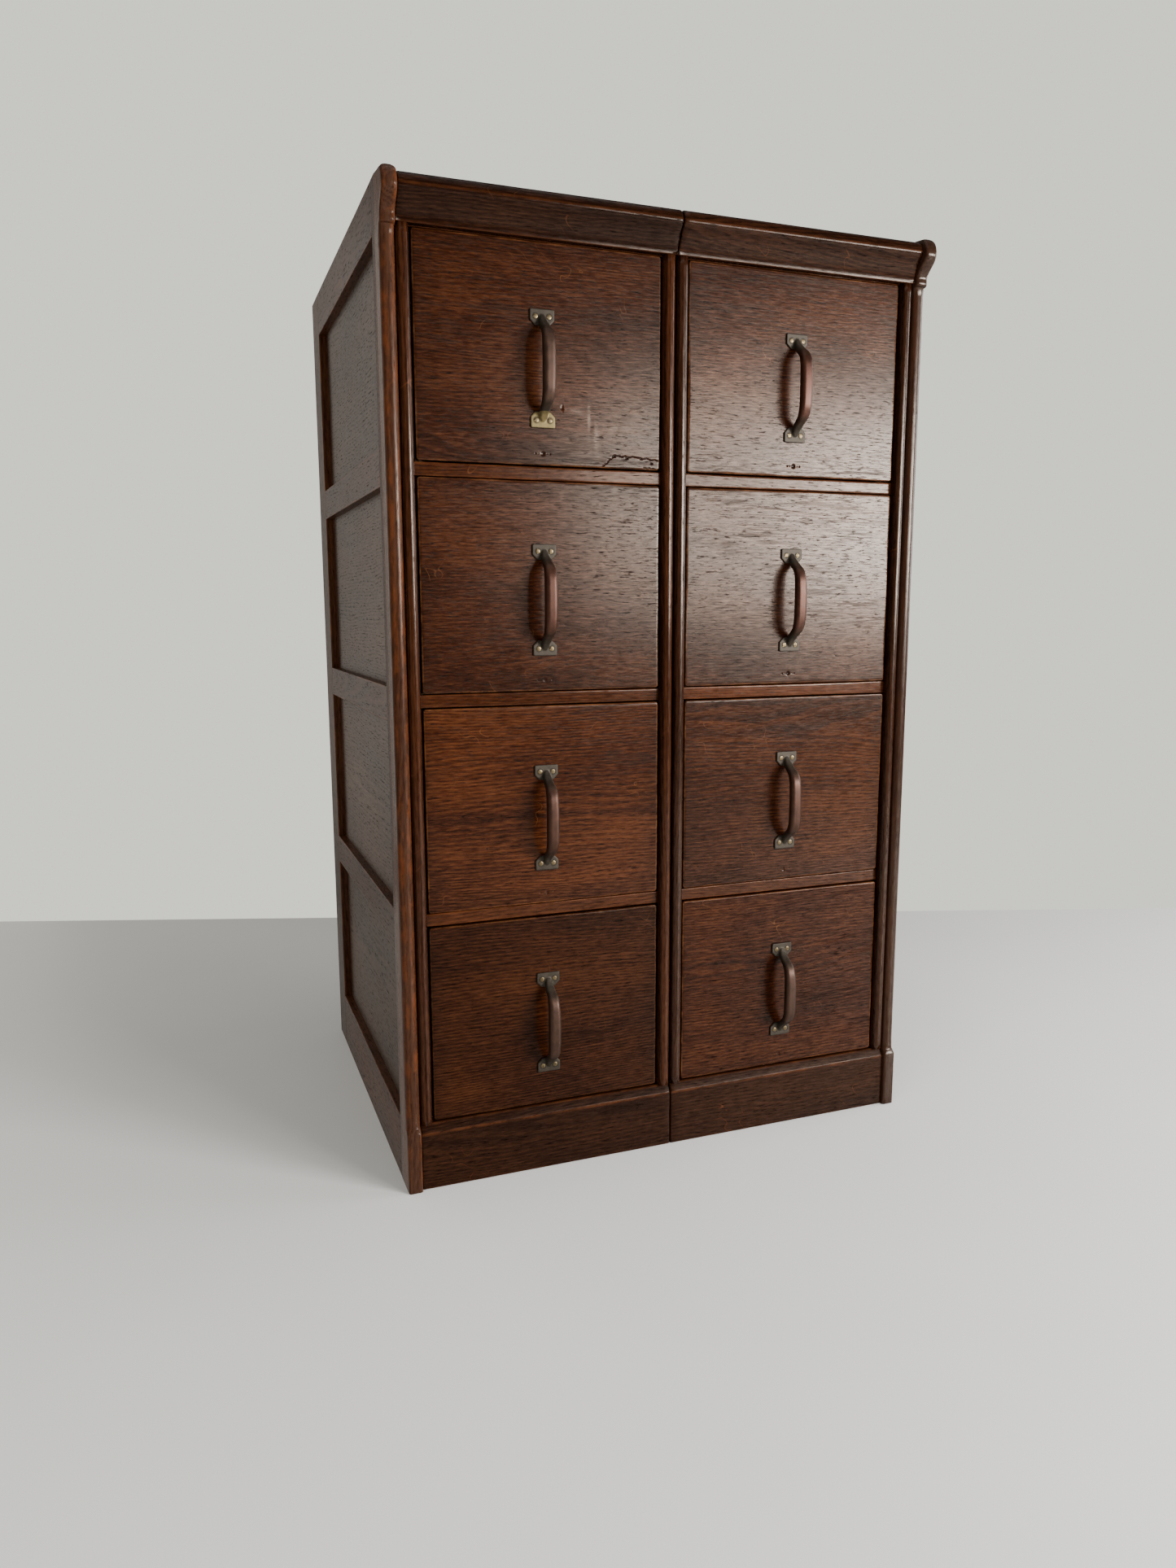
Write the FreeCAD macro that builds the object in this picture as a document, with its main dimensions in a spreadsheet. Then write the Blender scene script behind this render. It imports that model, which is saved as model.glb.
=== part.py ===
# A pair of four-drawer oak filing cabinets, side by side between two frame-and-panel ends.
# Millimetres. X runs along the front, Y from front to back, Z up from the floor.
# The origin is on the floor, under the middle of the whole object, pulls included.
# Run with FreeCAD's own Python: it writes one STEP file a node into parts/.

import FreeCAD, Part
import os
import re
import Sketcher

os.makedirs("parts", exist_ok=True)
doc = FreeCAD.newDocument("filing_cabinets")
sheet = doc.addObject("Spreadsheet::Sheet", "Sizes")
NODES = []
SIDES = ("left", "right")
DRAWERS = (1, 2, 3, 4)  # counted from the top, in each unit
BACK_BOARDS = 3  # in each unit


# ---- the driving dimensions ------------------------------------------------------------

def sizes(title, **values):
    """Write one block of the sheet: a title row, then a named number on each row."""
    sizes.row += 1
    sheet.set("A%d" % sizes.row, title)
    for name, value in values.items():
        sizes.row += 1
        sheet.set("A%d" % sizes.row, name)
        sheet.set("B%d" % sizes.row, str(value))
        sheet.setAlias("B%d" % sizes.row, name)


sizes.row = 0
sizes("Whole object",
      unit_width=377, unit_gap=1, unit_height=1315, end_height=1320, end_thickness=19.5,
      cabinet_depth=648)
sizes("End frames and panels",
      front_stile_width=52.5, rear_stile_width=71.7, top_rail_height=64.5, mid_rail_height=47,
      bottom_rail_height=92, panel_thickness=6.5, panel_lap=8, panel_play=1)
sizes("Shaped front edge of an end",
      edge_setback=4.5, edge_radius=8.5, foot_height=93, foot_slope=10, ear_height=63,
      ear_overhang=20.6, ear_bead=0.9, ear_bead_height=10, ear_nose_height=23,
      ear_nose_radius=15)
sizes("Face frame of a unit",
      stile_width=18, stile_setback=4.5, stile_radius=8.5, rail_setback=18, face_depth=38,
      rail_height=17)
sizes("Cornice of a unit",
      cornice_height=54, cornice_overhang=13.7, cornice_foot=5.5, cornice_foot_height=10,
      cornice_nose_height=17, cornice_nose_radius=14, cornice_lip_radius=6,
      cornice_cove_radius=8)
sizes("Plinth of a unit",
      plinth_height=94.5, plinth_setback=5, plinth_thickness=20, plinth_slope=11.5,
      plinth_ledge=8)
sizes("Boards of a unit",
      top_thickness=18, bottom_thickness=12, back_thickness=12, back_play=1, runner_width=15)
sizes("Joining bolts",
      bolt_diameter=8, bolt_head_diameter=20, bolt_head_height=5, bolt_inset=120)
sizes("Drawers",
      drawer_setback=14, front_thickness=20, side_gap=2.5, front_gap=1.75,
      front_corner_radius=3, box_thickness=12, box_under_gap=0.5, box_over_gap=4,
      box_back_gap=6, floor_thickness=6, floor_lift=10)
sizes("Pulls",
      pull_drop=17, pull_height=148.5, pull_stand=36, plate_width=35, plate_height=21,
      plate_thickness=2.5, plate_cut=7, plate_corner_radius=3, bow_width=15.5,
      bow_thickness=10.5, bow_shoulder=2, bow_slope=20, bow_overlap=8, bow_bend_radius=14,
      bow_edge_radius=4)
sizes("Screws of the pulls",
      screw_spacing=18.4, screw_inset=10, screw_length=16, shank_diameter=3.4,
      head_diameter=7.5, head_height=1.6, slot_width=1, slot_depth=0.8)

ALIAS = re.compile(r"\b[a-z]+(?:_[a-z]+)+\b")


def formula(text):
    """The text with every named size read from the sheet."""
    return ALIAS.sub(lambda name: "Sizes." + name.group(0), text)


def value(text):
    """What a formula comes to now."""
    return float(sheet.evalExpression(formula(text)))


def bind(thing, settings):
    """Bind an object's properties to formulas on the sheet."""
    for name, text in settings.items():
        thing.setExpression(name, formula(text))


doc.recompute()

# Places that many pieces share. An end's foot is the front plane; pulls and ears pass it.
FRONT = "(-(cabinet_depth + min(drawer_setback - pull_stand; -ear_overhang)) / 2)"
BACK = f"({FRONT} + cabinet_depth)"
HALF_WIDTH = "(unit_gap / 2 + unit_width + end_thickness)"
UNIT_X = {"left": "(-unit_gap / 2 - unit_width)", "right": "(unit_gap / 2)"}
END_X = {"left": f"(-{HALF_WIDTH})", "right": f"({HALF_WIDTH} - end_thickness)"}
CORNICE_Z = "(unit_height - cornice_height)"
OPENING_HEIGHT = f"(({CORNICE_Z} - plinth_height - {len(DRAWERS) - 1} * rail_height) / {len(DRAWERS)})"
OPENING_WIDTH = "(unit_width - 2 * stile_width)"
CARCASS_DEPTH = "(cabinet_depth - face_depth - back_thickness)"


def opening_z(drawer):
    """Height of the bottom of a drawer's opening; drawer 1 is at the top."""
    below = len(DRAWERS) - drawer
    return f"(plinth_height + {below} * ({OPENING_HEIGHT} + rail_height))"


# ---- helpers for the kinds of piece ----------------------------------------------------

def node(thing, label):
    """Take an object as a node: its label names its file."""
    thing.Label = label
    NODES.append(thing)
    return thing


def board(name, size, corner):
    """A squared board from its three sizes and the place of its lowest corner."""
    box = doc.addObject("Part::Box", name)
    bind(box, dict(zip(("Length", "Width", "Height"), size)))
    bind(box, {f"Placement.Base.{axis}": text for axis, text in zip("xyz", corner)})
    return box


def rod(name, diameter, length, centre, turn):
    """A round rod from its start, along the axis that turn gives."""
    cylinder = doc.addObject("Part::Cylinder", name)
    cylinder.Placement.Rotation = turn
    bind(cylinder, {"Radius": f"{diameter} / 2", "Height": length})
    bind(cylinder, {f"Placement.Base.{axis}": text for axis, text in zip("xyz", centre)})
    return cylinder


ALONG_X = FreeCAD.Rotation(FreeCAD.Vector(0, 1, 0), 90)
TO_FRONT = FreeCAD.Rotation(FreeCAD.Vector(1, 0, 0), 90)


def group(name, pieces):
    """Separate solids that share a node."""
    compound = doc.addObject("Part::Compound", name)
    compound.Links = pieces
    return compound


def joined(name, pieces):
    """Pieces made in one: fused."""
    fuse = doc.addObject("Part::MultiFuse", name)
    fuse.Shapes = pieces
    return fuse


def cut(name, base, tool):
    """The base with the tool's shape taken out."""
    result = doc.addObject("Part::Cut", name)
    result.Base = base
    result.Tool = tool
    return result


def new_body(name, place):
    """A PartDesign body whose own origin stands at the given place."""
    body = doc.addObject("PartDesign::Body", name)
    bind(body, {f"Placement.Base.{axis}": text for axis, text in zip("xyz", place)})
    return body


def outline(body, name, plane, corners):
    """A sketch on one of the body's origin planes: straight edges through the corners."""
    face = next(item for item in body.Origin.OriginFeatures if item.Role == plane)
    sketch = body.newObject("Sketcher::SketchObject", name)
    sketch.AttachmentSupport = (face, [""])
    sketch.MapMode = "FlatFace"
    points = [FreeCAD.Vector(value(across), value(up), 0) for across, up in corners]
    count = len(corners)
    for index, point in enumerate(points):
        sketch.addGeometry(Part.LineSegment(point, points[(index + 1) % count]))
    for index in range(count):
        following = (index + 1) % count
        sketch.addConstraint(Sketcher.Constraint("Coincident", index, 2, following, 1))
    for index, (across, up) in enumerate(corners):
        for kind, text in (("DistanceX", across), ("DistanceY", up)):
            held = sketch.addConstraint(Sketcher.Constraint(kind, -1, 1, index, 1, value(text)))
            bind(sketch, {f"Constraints[{held}]": text})
    return sketch


def pad(body, sketch, name, length, side="One side", turned=False):
    """Pad the sketch along its plane's normal, or against it when turned."""
    feature = body.newObject("PartDesign::Pad", name)
    feature.Profile = sketch
    feature.SideType = side
    feature.Reversed = turned
    bind(feature, {"Length": length})
    doc.recompute()
    return feature


def round_edges(body, name, radius, wanted):
    """Fillet the edges of the body so far that the test picks."""
    base = body.Tip
    edges = base.Shape.Edges
    fillet = body.newObject("PartDesign::Fillet", name)
    fillet.Base = (base, [f"Edge{place + 1}" for place, edge in enumerate(edges) if wanted(edge)])
    bind(fillet, {"Radius": radius})
    doc.recompute()
    return fillet


def middle(edge):
    """The middle point of an edge."""
    return edge.valueAt((edge.FirstParameter + edge.LastParameter) / 2)


def runs_along(edge, axis):
    """Whether an edge is straight and parallel to x, y or z."""
    span = edge.Vertexes[-1].Point - edge.Vertexes[0].Point
    return span.Length > 0 and abs(abs(getattr(span, axis)) - span.Length) < 1e-6


def near(number, text):
    """Whether a number is what a formula comes to."""
    return abs(number - value(text)) < 1e-3


# ---- end frames: stiles and rails round four thin panels -------------------------------

END_RAILS = f"(top_rail_height + bottom_rail_height + {len(DRAWERS) - 1} * mid_rail_height)"
END_OPENING = f"((end_height - {END_RAILS}) / {len(DRAWERS)})"
END_OPENING_DEPTH = "(cabinet_depth - front_stile_width - rear_stile_width)"


def end_opening_z(number):
    """Bottom of one of the end's four panel openings, counted from the floor."""
    return f"(bottom_rail_height + {number} * ({END_OPENING} + mid_rail_height))"


def front_stile(side):
    """The shaped front stile: foot below, rounded edge, and an ear that ends the cornice."""
    body = new_body(f"{side}_front_stile", (END_X[side], FRONT, "0"))
    edge = "edge_setback"
    ear_z = "(end_height - ear_height)"
    nose_z = "(end_height - ear_nose_height)"
    profile = outline(body, f"{side}_stile_profile", "YZ_Plane", [
        ("front_stile_width", "0"),
        ("front_stile_width", "end_height"),
        ("-ear_overhang", "end_height"),
        ("-ear_overhang", nose_z),
        ("-ear_bead", f"{ear_z} + ear_bead_height"),
        ("-ear_bead", ear_z),
        (edge, ear_z),
        (edge, "foot_height"),
        ("0", "foot_height - foot_slope"),
        ("0", "0")])
    pad(body, profile, f"{side}_stile_pad", "end_thickness")
    round_edges(body, f"{side}_ear_nose", "ear_nose_radius", lambda line: (
        near(middle(line).y, "-ear_overhang") and near(middle(line).z, "end_height")))
    round_edges(body, f"{side}_stile_edge", "edge_radius", lambda line: (
        runs_along(line, "z") and near(middle(line).y, edge)))
    return body


def end_frame(side):
    """Two stiles and five rails, rebated inside for the panels; and the panels."""
    x = END_X[side]
    inside = f"({x} + end_thickness - panel_thickness)" if side == "left" else x
    stile_back = f"({FRONT} + front_stile_width)"
    rear = f"({BACK} - rear_stile_width)"
    rebates = []
    panels = []
    for number in range(len(DRAWERS)):
        bottom = end_opening_z(number)
        rebates.append(board(
            f"{side}_rebate_{number}",
            ("panel_thickness", f"{END_OPENING_DEPTH} + 2 * panel_lap",
             f"{END_OPENING} + 2 * panel_lap"),
            (inside, f"{stile_back} - panel_lap", f"{bottom} - panel_lap")))
        panels.append(board(
            f"{side}_panel_{number}",
            ("panel_thickness", f"{END_OPENING_DEPTH} + 2 * (panel_lap - panel_play)",
             f"{END_OPENING} + 2 * (panel_lap - panel_play)"),
            (inside, f"{stile_back} - panel_lap + panel_play",
             f"{bottom} - panel_lap + panel_play")))
    rebate = joined(f"{side}_rebates", rebates)
    members = [front_stile(side)]
    members.append(board(
        f"{side}_rear_stile", ("end_thickness", "rear_stile_width", "end_height"),
        (x, rear, "0")))
    rails = [("0", "bottom_rail_height"), ("end_height - top_rail_height", "top_rail_height")]
    for number in range(1, len(DRAWERS)):
        rails.append((f"{end_opening_z(number)} - mid_rail_height", "mid_rail_height"))
    for number, (bottom, height) in enumerate(rails):
        members.append(board(
            f"{side}_end_rail_{number}", ("end_thickness", END_OPENING_DEPTH, height),
            (x, stile_back, bottom)))
    rebated = [cut(f"{member.Name}_rebated", member, rebate) for member in members]
    node(group(f"{side}_end_members", rebated), f"{side}_end_frame")
    node(group(f"{side}_end_fields", panels), f"{side}_end_panels")


# ---- a unit: cornice, plinth, face frame and carcass -----------------------------------

def cornice(unit):
    """The moulding along the top of a unit: round nose, sloped cove and a small fillet."""
    body = new_body(f"{unit}_cornice_body", (UNIT_X[unit], FRONT, "0"))
    nose_z = "(unit_height - cornice_nose_height)"
    cove_z = f"({CORNICE_Z} + cornice_foot_height)"
    profile = outline(body, f"{unit}_cornice_profile", "YZ_Plane", [
        ("rail_setback", CORNICE_Z),
        ("rail_setback", "unit_height"),
        ("-cornice_overhang", "unit_height"),
        ("-cornice_overhang", nose_z),
        ("cornice_foot", cove_z),
        ("cornice_foot", CORNICE_Z)])
    pad(body, profile, f"{unit}_cornice_pad", "unit_width")
    for name, radius, y, z in (
            ("nose", "cornice_nose_radius", "-cornice_overhang", "unit_height"),
            ("lip", "cornice_lip_radius", "-cornice_overhang", nose_z),
            ("cove", "cornice_cove_radius", "cornice_foot", cove_z)):
        round_edges(body, f"{unit}_cornice_{name}", radius, lambda line: (
            runs_along(line, "x") and near(middle(line).y, y) and near(middle(line).z, z)))
    node(body, f"{unit}_cornice")


def plinth(unit):
    """The base board, its front top edge sloped back to the face frame."""
    body = new_body(f"{unit}_plinth_body", (UNIT_X[unit], FRONT, "0"))
    profile = outline(body, f"{unit}_plinth_profile", "YZ_Plane", [
        ("plinth_setback", "0"),
        ("plinth_setback + plinth_thickness", "0"),
        ("plinth_setback + plinth_thickness", "plinth_height"),
        ("plinth_setback + plinth_ledge", "plinth_height"),
        ("plinth_setback", "plinth_height - plinth_slope")])
    pad(body, profile, f"{unit}_plinth_pad", "unit_width")
    node(body, f"{unit}_plinth")


def unit_stile(unit, side):
    """One stile of the face frame, its front edges rounded over."""
    x = UNIT_X[unit] if side == "left" else f"({UNIT_X[unit]} + unit_width - stile_width)"
    body = new_body(f"{unit}_unit_stile_{side}", (x, FRONT, "plinth_height"))
    profile = outline(body, f"{unit}_stile_{side}_section", "XY_Plane", [
        ("0", "stile_setback"), ("stile_width", "stile_setback"),
        ("stile_width", "face_depth"), ("0", "face_depth")])
    pad(body, profile, f"{unit}_stile_{side}_pad", f"{CORNICE_Z} - plinth_height")
    round_edges(body, f"{unit}_stile_{side}_round", "stile_radius", lambda line: (
        runs_along(line, "z") and near(middle(line).y, "stile_setback")))
    return body


def face_frame(unit):
    """Stiles between plinth and cornice, with rails over, between and under the drawers."""
    x = UNIT_X[unit]
    node(group(f"{unit}_stile_pair", [unit_stile(unit, side) for side in SIDES]),
         f"{unit}_stiles")
    rail_y = f"({FRONT} + rail_setback)"
    rail_depth = "(face_depth - rail_setback)"
    rails = [board(
        f"{unit}_rail_top",
        ("unit_width", rail_depth, "cornice_height - top_thickness"),
        (x, rail_y, CORNICE_Z))]
    for drawer in DRAWERS[:-1]:
        rails.append(board(
            f"{unit}_rail_{drawer}", (OPENING_WIDTH, rail_depth, "rail_height"),
            (f"{x} + stile_width", rail_y, f"{opening_z(drawer)} - rail_height")))
    rails.append(board(
        f"{unit}_rail_bottom",
        ("unit_width", "face_depth - plinth_setback - plinth_thickness", "rail_height"),
        (x, f"{FRONT} + plinth_setback + plinth_thickness", "plinth_height - rail_height")))
    node(group(f"{unit}_rail_set", rails), f"{unit}_rails")


def carcass(unit):
    """Top board and drawer runners of one unit."""
    x = UNIT_X[unit]
    y = f"({FRONT} + face_depth)"
    node(board(f"{unit}_top",
               ("unit_width", "cabinet_depth - rail_setback", "top_thickness"),
               (x, f"{FRONT} + rail_setback", "unit_height - top_thickness")),
         f"{unit}_top_board")
    runners = []
    for drawer in DRAWERS:
        for side, place in (("left", "stile_width"),
                            ("right", "unit_width - stile_width - runner_width")):
            runners.append(board(
                f"{unit}_runner_{drawer}_{side}",
                ("runner_width", CARCASS_DEPTH, "rail_height"),
                (f"{x} + {place}", y, f"{opening_z(drawer)} - rail_height")))
    node(group(f"{unit}_runner_set", runners), f"{unit}_runners")


def bolts():
    """Four flush bolts through the two inner sides that stand back to back."""
    head_x = "(unit_gap / 2 + stile_width)"
    made = []
    places = [(y, f"{opening_z(drawer)} + bolt_inset")
              for drawer in (DRAWERS[0], DRAWERS[-1])
              for y in (f"{FRONT} + face_depth + bolt_inset",
                        f"{BACK} - back_thickness - bolt_inset")]
    for number, (y, z) in enumerate(places):
        shank = rod(f"bolt_shank_{number}", "bolt_diameter", f"2 * {head_x}",
                    (f"-{head_x}", y, z), ALONG_X)
        head = rod(f"bolt_head_{number}", "bolt_head_diameter", "bolt_head_height",
                   (f"-{head_x}", y, z), ALONG_X)
        nut = rod(f"bolt_nut_{number}", "bolt_head_diameter", "bolt_head_height",
                  (f"{head_x} - bolt_head_height", y, z), ALONG_X)
        made.append(joined(f"bolt_{number}", [shank, head, nut]))
    return node(group("bolt_set", made), "joining_bolts")


def shared_boards():
    """Inner sides, floors and back boards of both units, and the bolts between them."""
    bolt_set = bolts()
    sides = []
    floors = []
    backs = []
    y = f"({FRONT} + face_depth)"
    back_width = f"((unit_width - {BACK_BOARDS - 1} * back_play) / {BACK_BOARDS})"
    for unit in SIDES:
        x = UNIT_X[unit]
        for side, place in (("left", "0"), ("right", "unit_width - stile_width")):
            side_board = board(
                f"{unit}_inner_side_{side}",
                ("stile_width", CARCASS_DEPTH, "unit_height - top_thickness"),
                (f"{x} + {place}", y, "0"))
            if side != unit:
                side_board = cut(f"{unit}_inner_side_bored", side_board, bolt_set)
            sides.append(side_board)
        floors.append(board(
            f"{unit}_floor", (OPENING_WIDTH, CARCASS_DEPTH, "bottom_thickness"),
            (f"{x} + stile_width", y, "plinth_height - rail_height - bottom_thickness")))
        for number in range(BACK_BOARDS):
            backs.append(board(
                f"{unit}_back_{number}",
                (back_width, "back_thickness", "unit_height - top_thickness"),
                (f"{x} + {number} * ({back_width} + back_play)",
                 f"{BACK} - back_thickness", "0")))
    node(group("inner_side_set", sides), "inner_sides")
    node(group("floor_set", floors), "bottom_boards")
    node(group("back_set", backs), "back_boards")


# ---- a drawer: front, box, bottom, pull and screws -------------------------------------

FRONT_WIDTH = f"({OPENING_WIDTH} - 2 * side_gap)"
FRONT_HEIGHT = f"({OPENING_HEIGHT} - 2 * front_gap)"
PLATE_MIDDLE = "((pull_height - plate_height) / 2)"


def screw_places(x, z):
    """The four screw places of a pull, two in each plate."""
    offset = "(pull_height / 2 - screw_inset)"
    return [(f"{x} {across} screw_spacing / 2", f"{z} {up} {offset}")
            for up in "+-" for across in "+-"]


def pull(name, x, z):
    """A cast pull: an upright bow between two screwed plates, the corners by the bow cut."""
    body = new_body(f"{name}_casting", (x, f"{FRONT} + drawer_setback", z))
    end_z = "(pull_height / 2 - plate_height)"
    inner = "(pull_stand - bow_thickness)"
    root = "(-plate_thickness / 2)"
    bow = [
        (root, f"{end_z} + bow_overlap"),
        ("-pull_stand + bow_shoulder", f"{end_z} - bow_slope + bow_thickness"),
        ("-pull_stand", "0"),
        ("-pull_stand + bow_shoulder", f"-({end_z} - bow_slope + bow_thickness)"),
        (root, f"-({end_z} + bow_overlap)"),
        (root, f"-({end_z} + bow_overlap - bow_thickness)"),
        (f"-{inner} + bow_shoulder", f"-({end_z} - bow_slope)"),
        (f"-{inner}", "0"),
        (f"-{inner} + bow_shoulder", f"{end_z} - bow_slope"),
        (root, f"{end_z} + bow_overlap - bow_thickness")]
    pad(body, outline(body, f"{name}_bow_profile", "YZ_Plane", bow), f"{name}_bow",
        "bow_width", side="Symmetric")
    round_edges(body, f"{name}_bow_bends", "bow_bend_radius", lambda line: (
        runs_along(line, "x") and near(abs(middle(line).y), f"{inner} - bow_shoulder")))
    round_edges(body, f"{name}_bow_shoulders", "bow_bend_radius + bow_thickness / 2",
                lambda line: (runs_along(line, "x")
                              and near(abs(middle(line).y), "pull_stand - bow_shoulder")))
    round_edges(body, f"{name}_bow_edges", "bow_edge_radius", lambda line: (
        near(abs(middle(line).x), "bow_width / 2") and middle(line).y < value(root) - 1e-3))
    half = "plate_width / 2"
    for up in ("", "-"):
        plate = [
            (f"-{half}", f"{up}pull_height / 2"),
            (half, f"{up}pull_height / 2"),
            (half, f"{up}({end_z} + plate_cut)"),
            (f"{half} - plate_cut", f"{up}{end_z}"),
            (f"-({half} - plate_cut)", f"{up}{end_z}"),
            (f"-{half}", f"{up}({end_z} + plate_cut)")]
        word = "top" if up == "" else "low"
        pad(body, outline(body, f"{name}_{word}_plate_outline", "XZ_Plane", plate),
            f"{name}_{word}_plate", "plate_thickness")
    round_edges(body, f"{name}_plate_corners", "plate_corner_radius", lambda line: (
        runs_along(line, "y") and near(abs(middle(line).z), "pull_height / 2")))
    return body


def screw(name, x, z):
    """A slotted screw through the plate into the drawer front."""
    seat = f"{FRONT} + drawer_setback - plate_thickness"
    shank = rod(f"{name}_shank", "shank_diameter", "screw_length",
                (x, f"{seat} + screw_length", z), TO_FRONT)
    head = rod(f"{name}_head", "head_diameter", "head_height", (x, seat, z), TO_FRONT)
    slot = board(f"{name}_slot", ("head_diameter", "slot_depth", "slot_width"),
                 (f"{x} - head_diameter / 2", f"{seat} - head_height", f"{z} - slot_width / 2"))
    return cut(name, joined(f"{name}_blank", [shank, head]), slot)


def drawer(unit, number):
    """One drawer: panel front with rounded corners, board box, and its pull."""
    name = f"{unit}_drawer_{number}"
    x = f"({UNIT_X[unit]} + stile_width + side_gap)"
    z = opening_z(number)
    front_back = f"({FRONT} + drawer_setback + front_thickness)"
    pull_x = f"({x} + {FRONT_WIDTH} / 2)"
    pull_z = f"({z} + front_gap + {FRONT_HEIGHT} / 2 - pull_drop)"
    places = screw_places(pull_x, pull_z)
    pilots = []
    for place, (hole_x, hole_z) in enumerate(places):
        pilots.append(rod(f"{name}_pilot_{place}", "shank_diameter", "screw_length",
                          (hole_x, f"{FRONT} + drawer_setback - plate_thickness + screw_length",
                           hole_z), TO_FRONT))
    pilot = group(f"{name}_pilots", pilots)

    body = new_body(f"{name}_front_body", (x, f"{FRONT} + drawer_setback", f"{z} + front_gap"))
    face = outline(body, f"{name}_front_outline", "XZ_Plane", [
        ("0", "0"), (FRONT_WIDTH, "0"), (FRONT_WIDTH, FRONT_HEIGHT), ("0", FRONT_HEIGHT)])
    pad(body, face, f"{name}_front_pad", "front_thickness", turned=True)
    round_edges(body, f"{name}_front_corners", "front_corner_radius",
                lambda line: runs_along(line, "y"))
    node(cut(f"{name}_front_bored", body, pilot), f"{name}_front")

    box_z = f"({z} + box_under_gap)"
    box_height = f"({OPENING_HEIGHT} - box_under_gap - box_over_gap)"
    box_depth = f"({CARCASS_DEPTH} + face_depth - drawer_setback - front_thickness - box_back_gap)"
    inner_x = f"({x} + box_thickness)"
    inner_width = f"({FRONT_WIDTH} - 2 * box_thickness)"
    sides = [
        board(f"{name}_side_left", ("box_thickness", box_depth, box_height),
              (x, front_back, box_z)),
        board(f"{name}_side_right", ("box_thickness", box_depth, box_height),
              (f"{x} + {FRONT_WIDTH} - box_thickness", front_back, box_z)),
        board(f"{name}_box_back", (inner_width, "box_thickness", box_height),
              (inner_x, f"{front_back} + {box_depth} - box_thickness", box_z))]
    node(group(f"{name}_box_boards", sides), f"{name}_box")
    node(board(f"{name}_floor",
               (inner_width, f"{box_depth} - box_thickness", "floor_thickness"),
               (inner_x, front_back, f"{box_z} + floor_lift")),
         f"{name}_bottom")
    node(cut(f"{name}_pull_bored", pull(name, pull_x, pull_z), pilot), f"{name}_pull")
    node(group(f"{name}_screw_set", [
        screw(f"{name}_screw_{place}", screw_x, screw_z)
        for place, (screw_x, screw_z) in enumerate(places)]), f"{name}_screws")


# ---- put together, check and write -----------------------------------------------------

shared_boards()
for unit_name in SIDES:
    end_frame(unit_name)
    cornice(unit_name)
    plinth(unit_name)
    face_frame(unit_name)
    carcass(unit_name)
    for drawer_number in DRAWERS:
        drawer(unit_name, drawer_number)

doc.recompute()
for item in doc.Objects:
    if "Invalid" in item.State or "Error" in item.State:
        raise RuntimeError(f"{item.Label} did not recompute: {item.State}")
for item in NODES:
    if item.Shape.isNull() or not item.Shape.isValid():
        raise RuntimeError(f"{item.Label} has no valid shape")
for item in NODES:
    item.Shape.exportStep(os.path.join("parts", item.Label + ".step"))
print(len(NODES), "nodes written")
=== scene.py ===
"""A pair of four-drawer oak filing cabinets, stained dark, with upright bronze pulls.
Metres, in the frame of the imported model: X along the front, Y to the back, Z up."""

import math

import bpy
import numpy as np
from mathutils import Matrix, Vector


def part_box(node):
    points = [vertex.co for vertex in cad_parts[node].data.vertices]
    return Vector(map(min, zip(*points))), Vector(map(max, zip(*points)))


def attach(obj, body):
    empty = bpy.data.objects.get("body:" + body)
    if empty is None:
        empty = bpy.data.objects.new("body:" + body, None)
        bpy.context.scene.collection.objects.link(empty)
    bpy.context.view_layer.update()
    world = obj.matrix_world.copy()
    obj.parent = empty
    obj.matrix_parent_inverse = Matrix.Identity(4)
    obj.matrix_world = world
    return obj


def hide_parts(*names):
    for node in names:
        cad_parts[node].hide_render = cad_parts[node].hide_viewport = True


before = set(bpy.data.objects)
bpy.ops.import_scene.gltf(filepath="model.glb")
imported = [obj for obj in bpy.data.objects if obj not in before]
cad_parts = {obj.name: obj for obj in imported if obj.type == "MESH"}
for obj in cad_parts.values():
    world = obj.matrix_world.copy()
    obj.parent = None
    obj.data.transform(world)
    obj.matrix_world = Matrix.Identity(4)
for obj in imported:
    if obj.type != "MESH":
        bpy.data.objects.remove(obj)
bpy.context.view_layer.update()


# ---- Camera, floor and light ---------------------------------------------------------
# The cabinets stand on a plain pale floor, seen from the front a little to their left.
# A wide window far to the right lights the fronts, and soft light comes from all round.

camera_data = bpy.data.cameras.new("camera")
camera_data.lens = 25.03
camera_data.sensor_width = 36
camera = bpy.data.objects.new("camera", camera_data)
camera.location = (-0.6588, -1.705, 0.7943)
camera.rotation_euler = [math.radians(angle) for angle in (80.99, 0.19, -20.74)]
bpy.context.collection.objects.link(camera)
bpy.context.scene.camera = camera


def fill(tree, node, inputs):
    """Sets a node's inputs, by name or number, to values or to other nodes' outputs. A node
    given by itself stands for its first output."""
    for name, given in inputs.items():
        if isinstance(given, bpy.types.Node):
            given = given.outputs[0]
        if isinstance(given, bpy.types.NodeSocket):
            tree.links.new(given, node.inputs[name])
        else:
            node.inputs[name].default_value = given


def add(tree, kind, inputs=None, **settings):
    """A new node in a tree, with its settings and its inputs."""
    node = tree.nodes.new(kind)
    for name, setting in settings.items():
        setattr(node, name, setting)
    fill(tree, node, inputs or {})
    return node


def blend(tree, factor, first, second):
    """The second colour laid over the first, as far as the factor says."""
    return add(tree, "ShaderNodeMix", {0: factor, 6: first, 7: second},
               data_type="RGBA").outputs[2]


def noise(tree, place, scale, detail, roughness=0.5):
    """Cloudy noise, from 0 to 1."""
    return add(tree, "ShaderNodeTexNoise", {
        "Vector": place, "Scale": scale, "Detail": detail, "Roughness": roughness}).outputs["Fac"]


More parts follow.
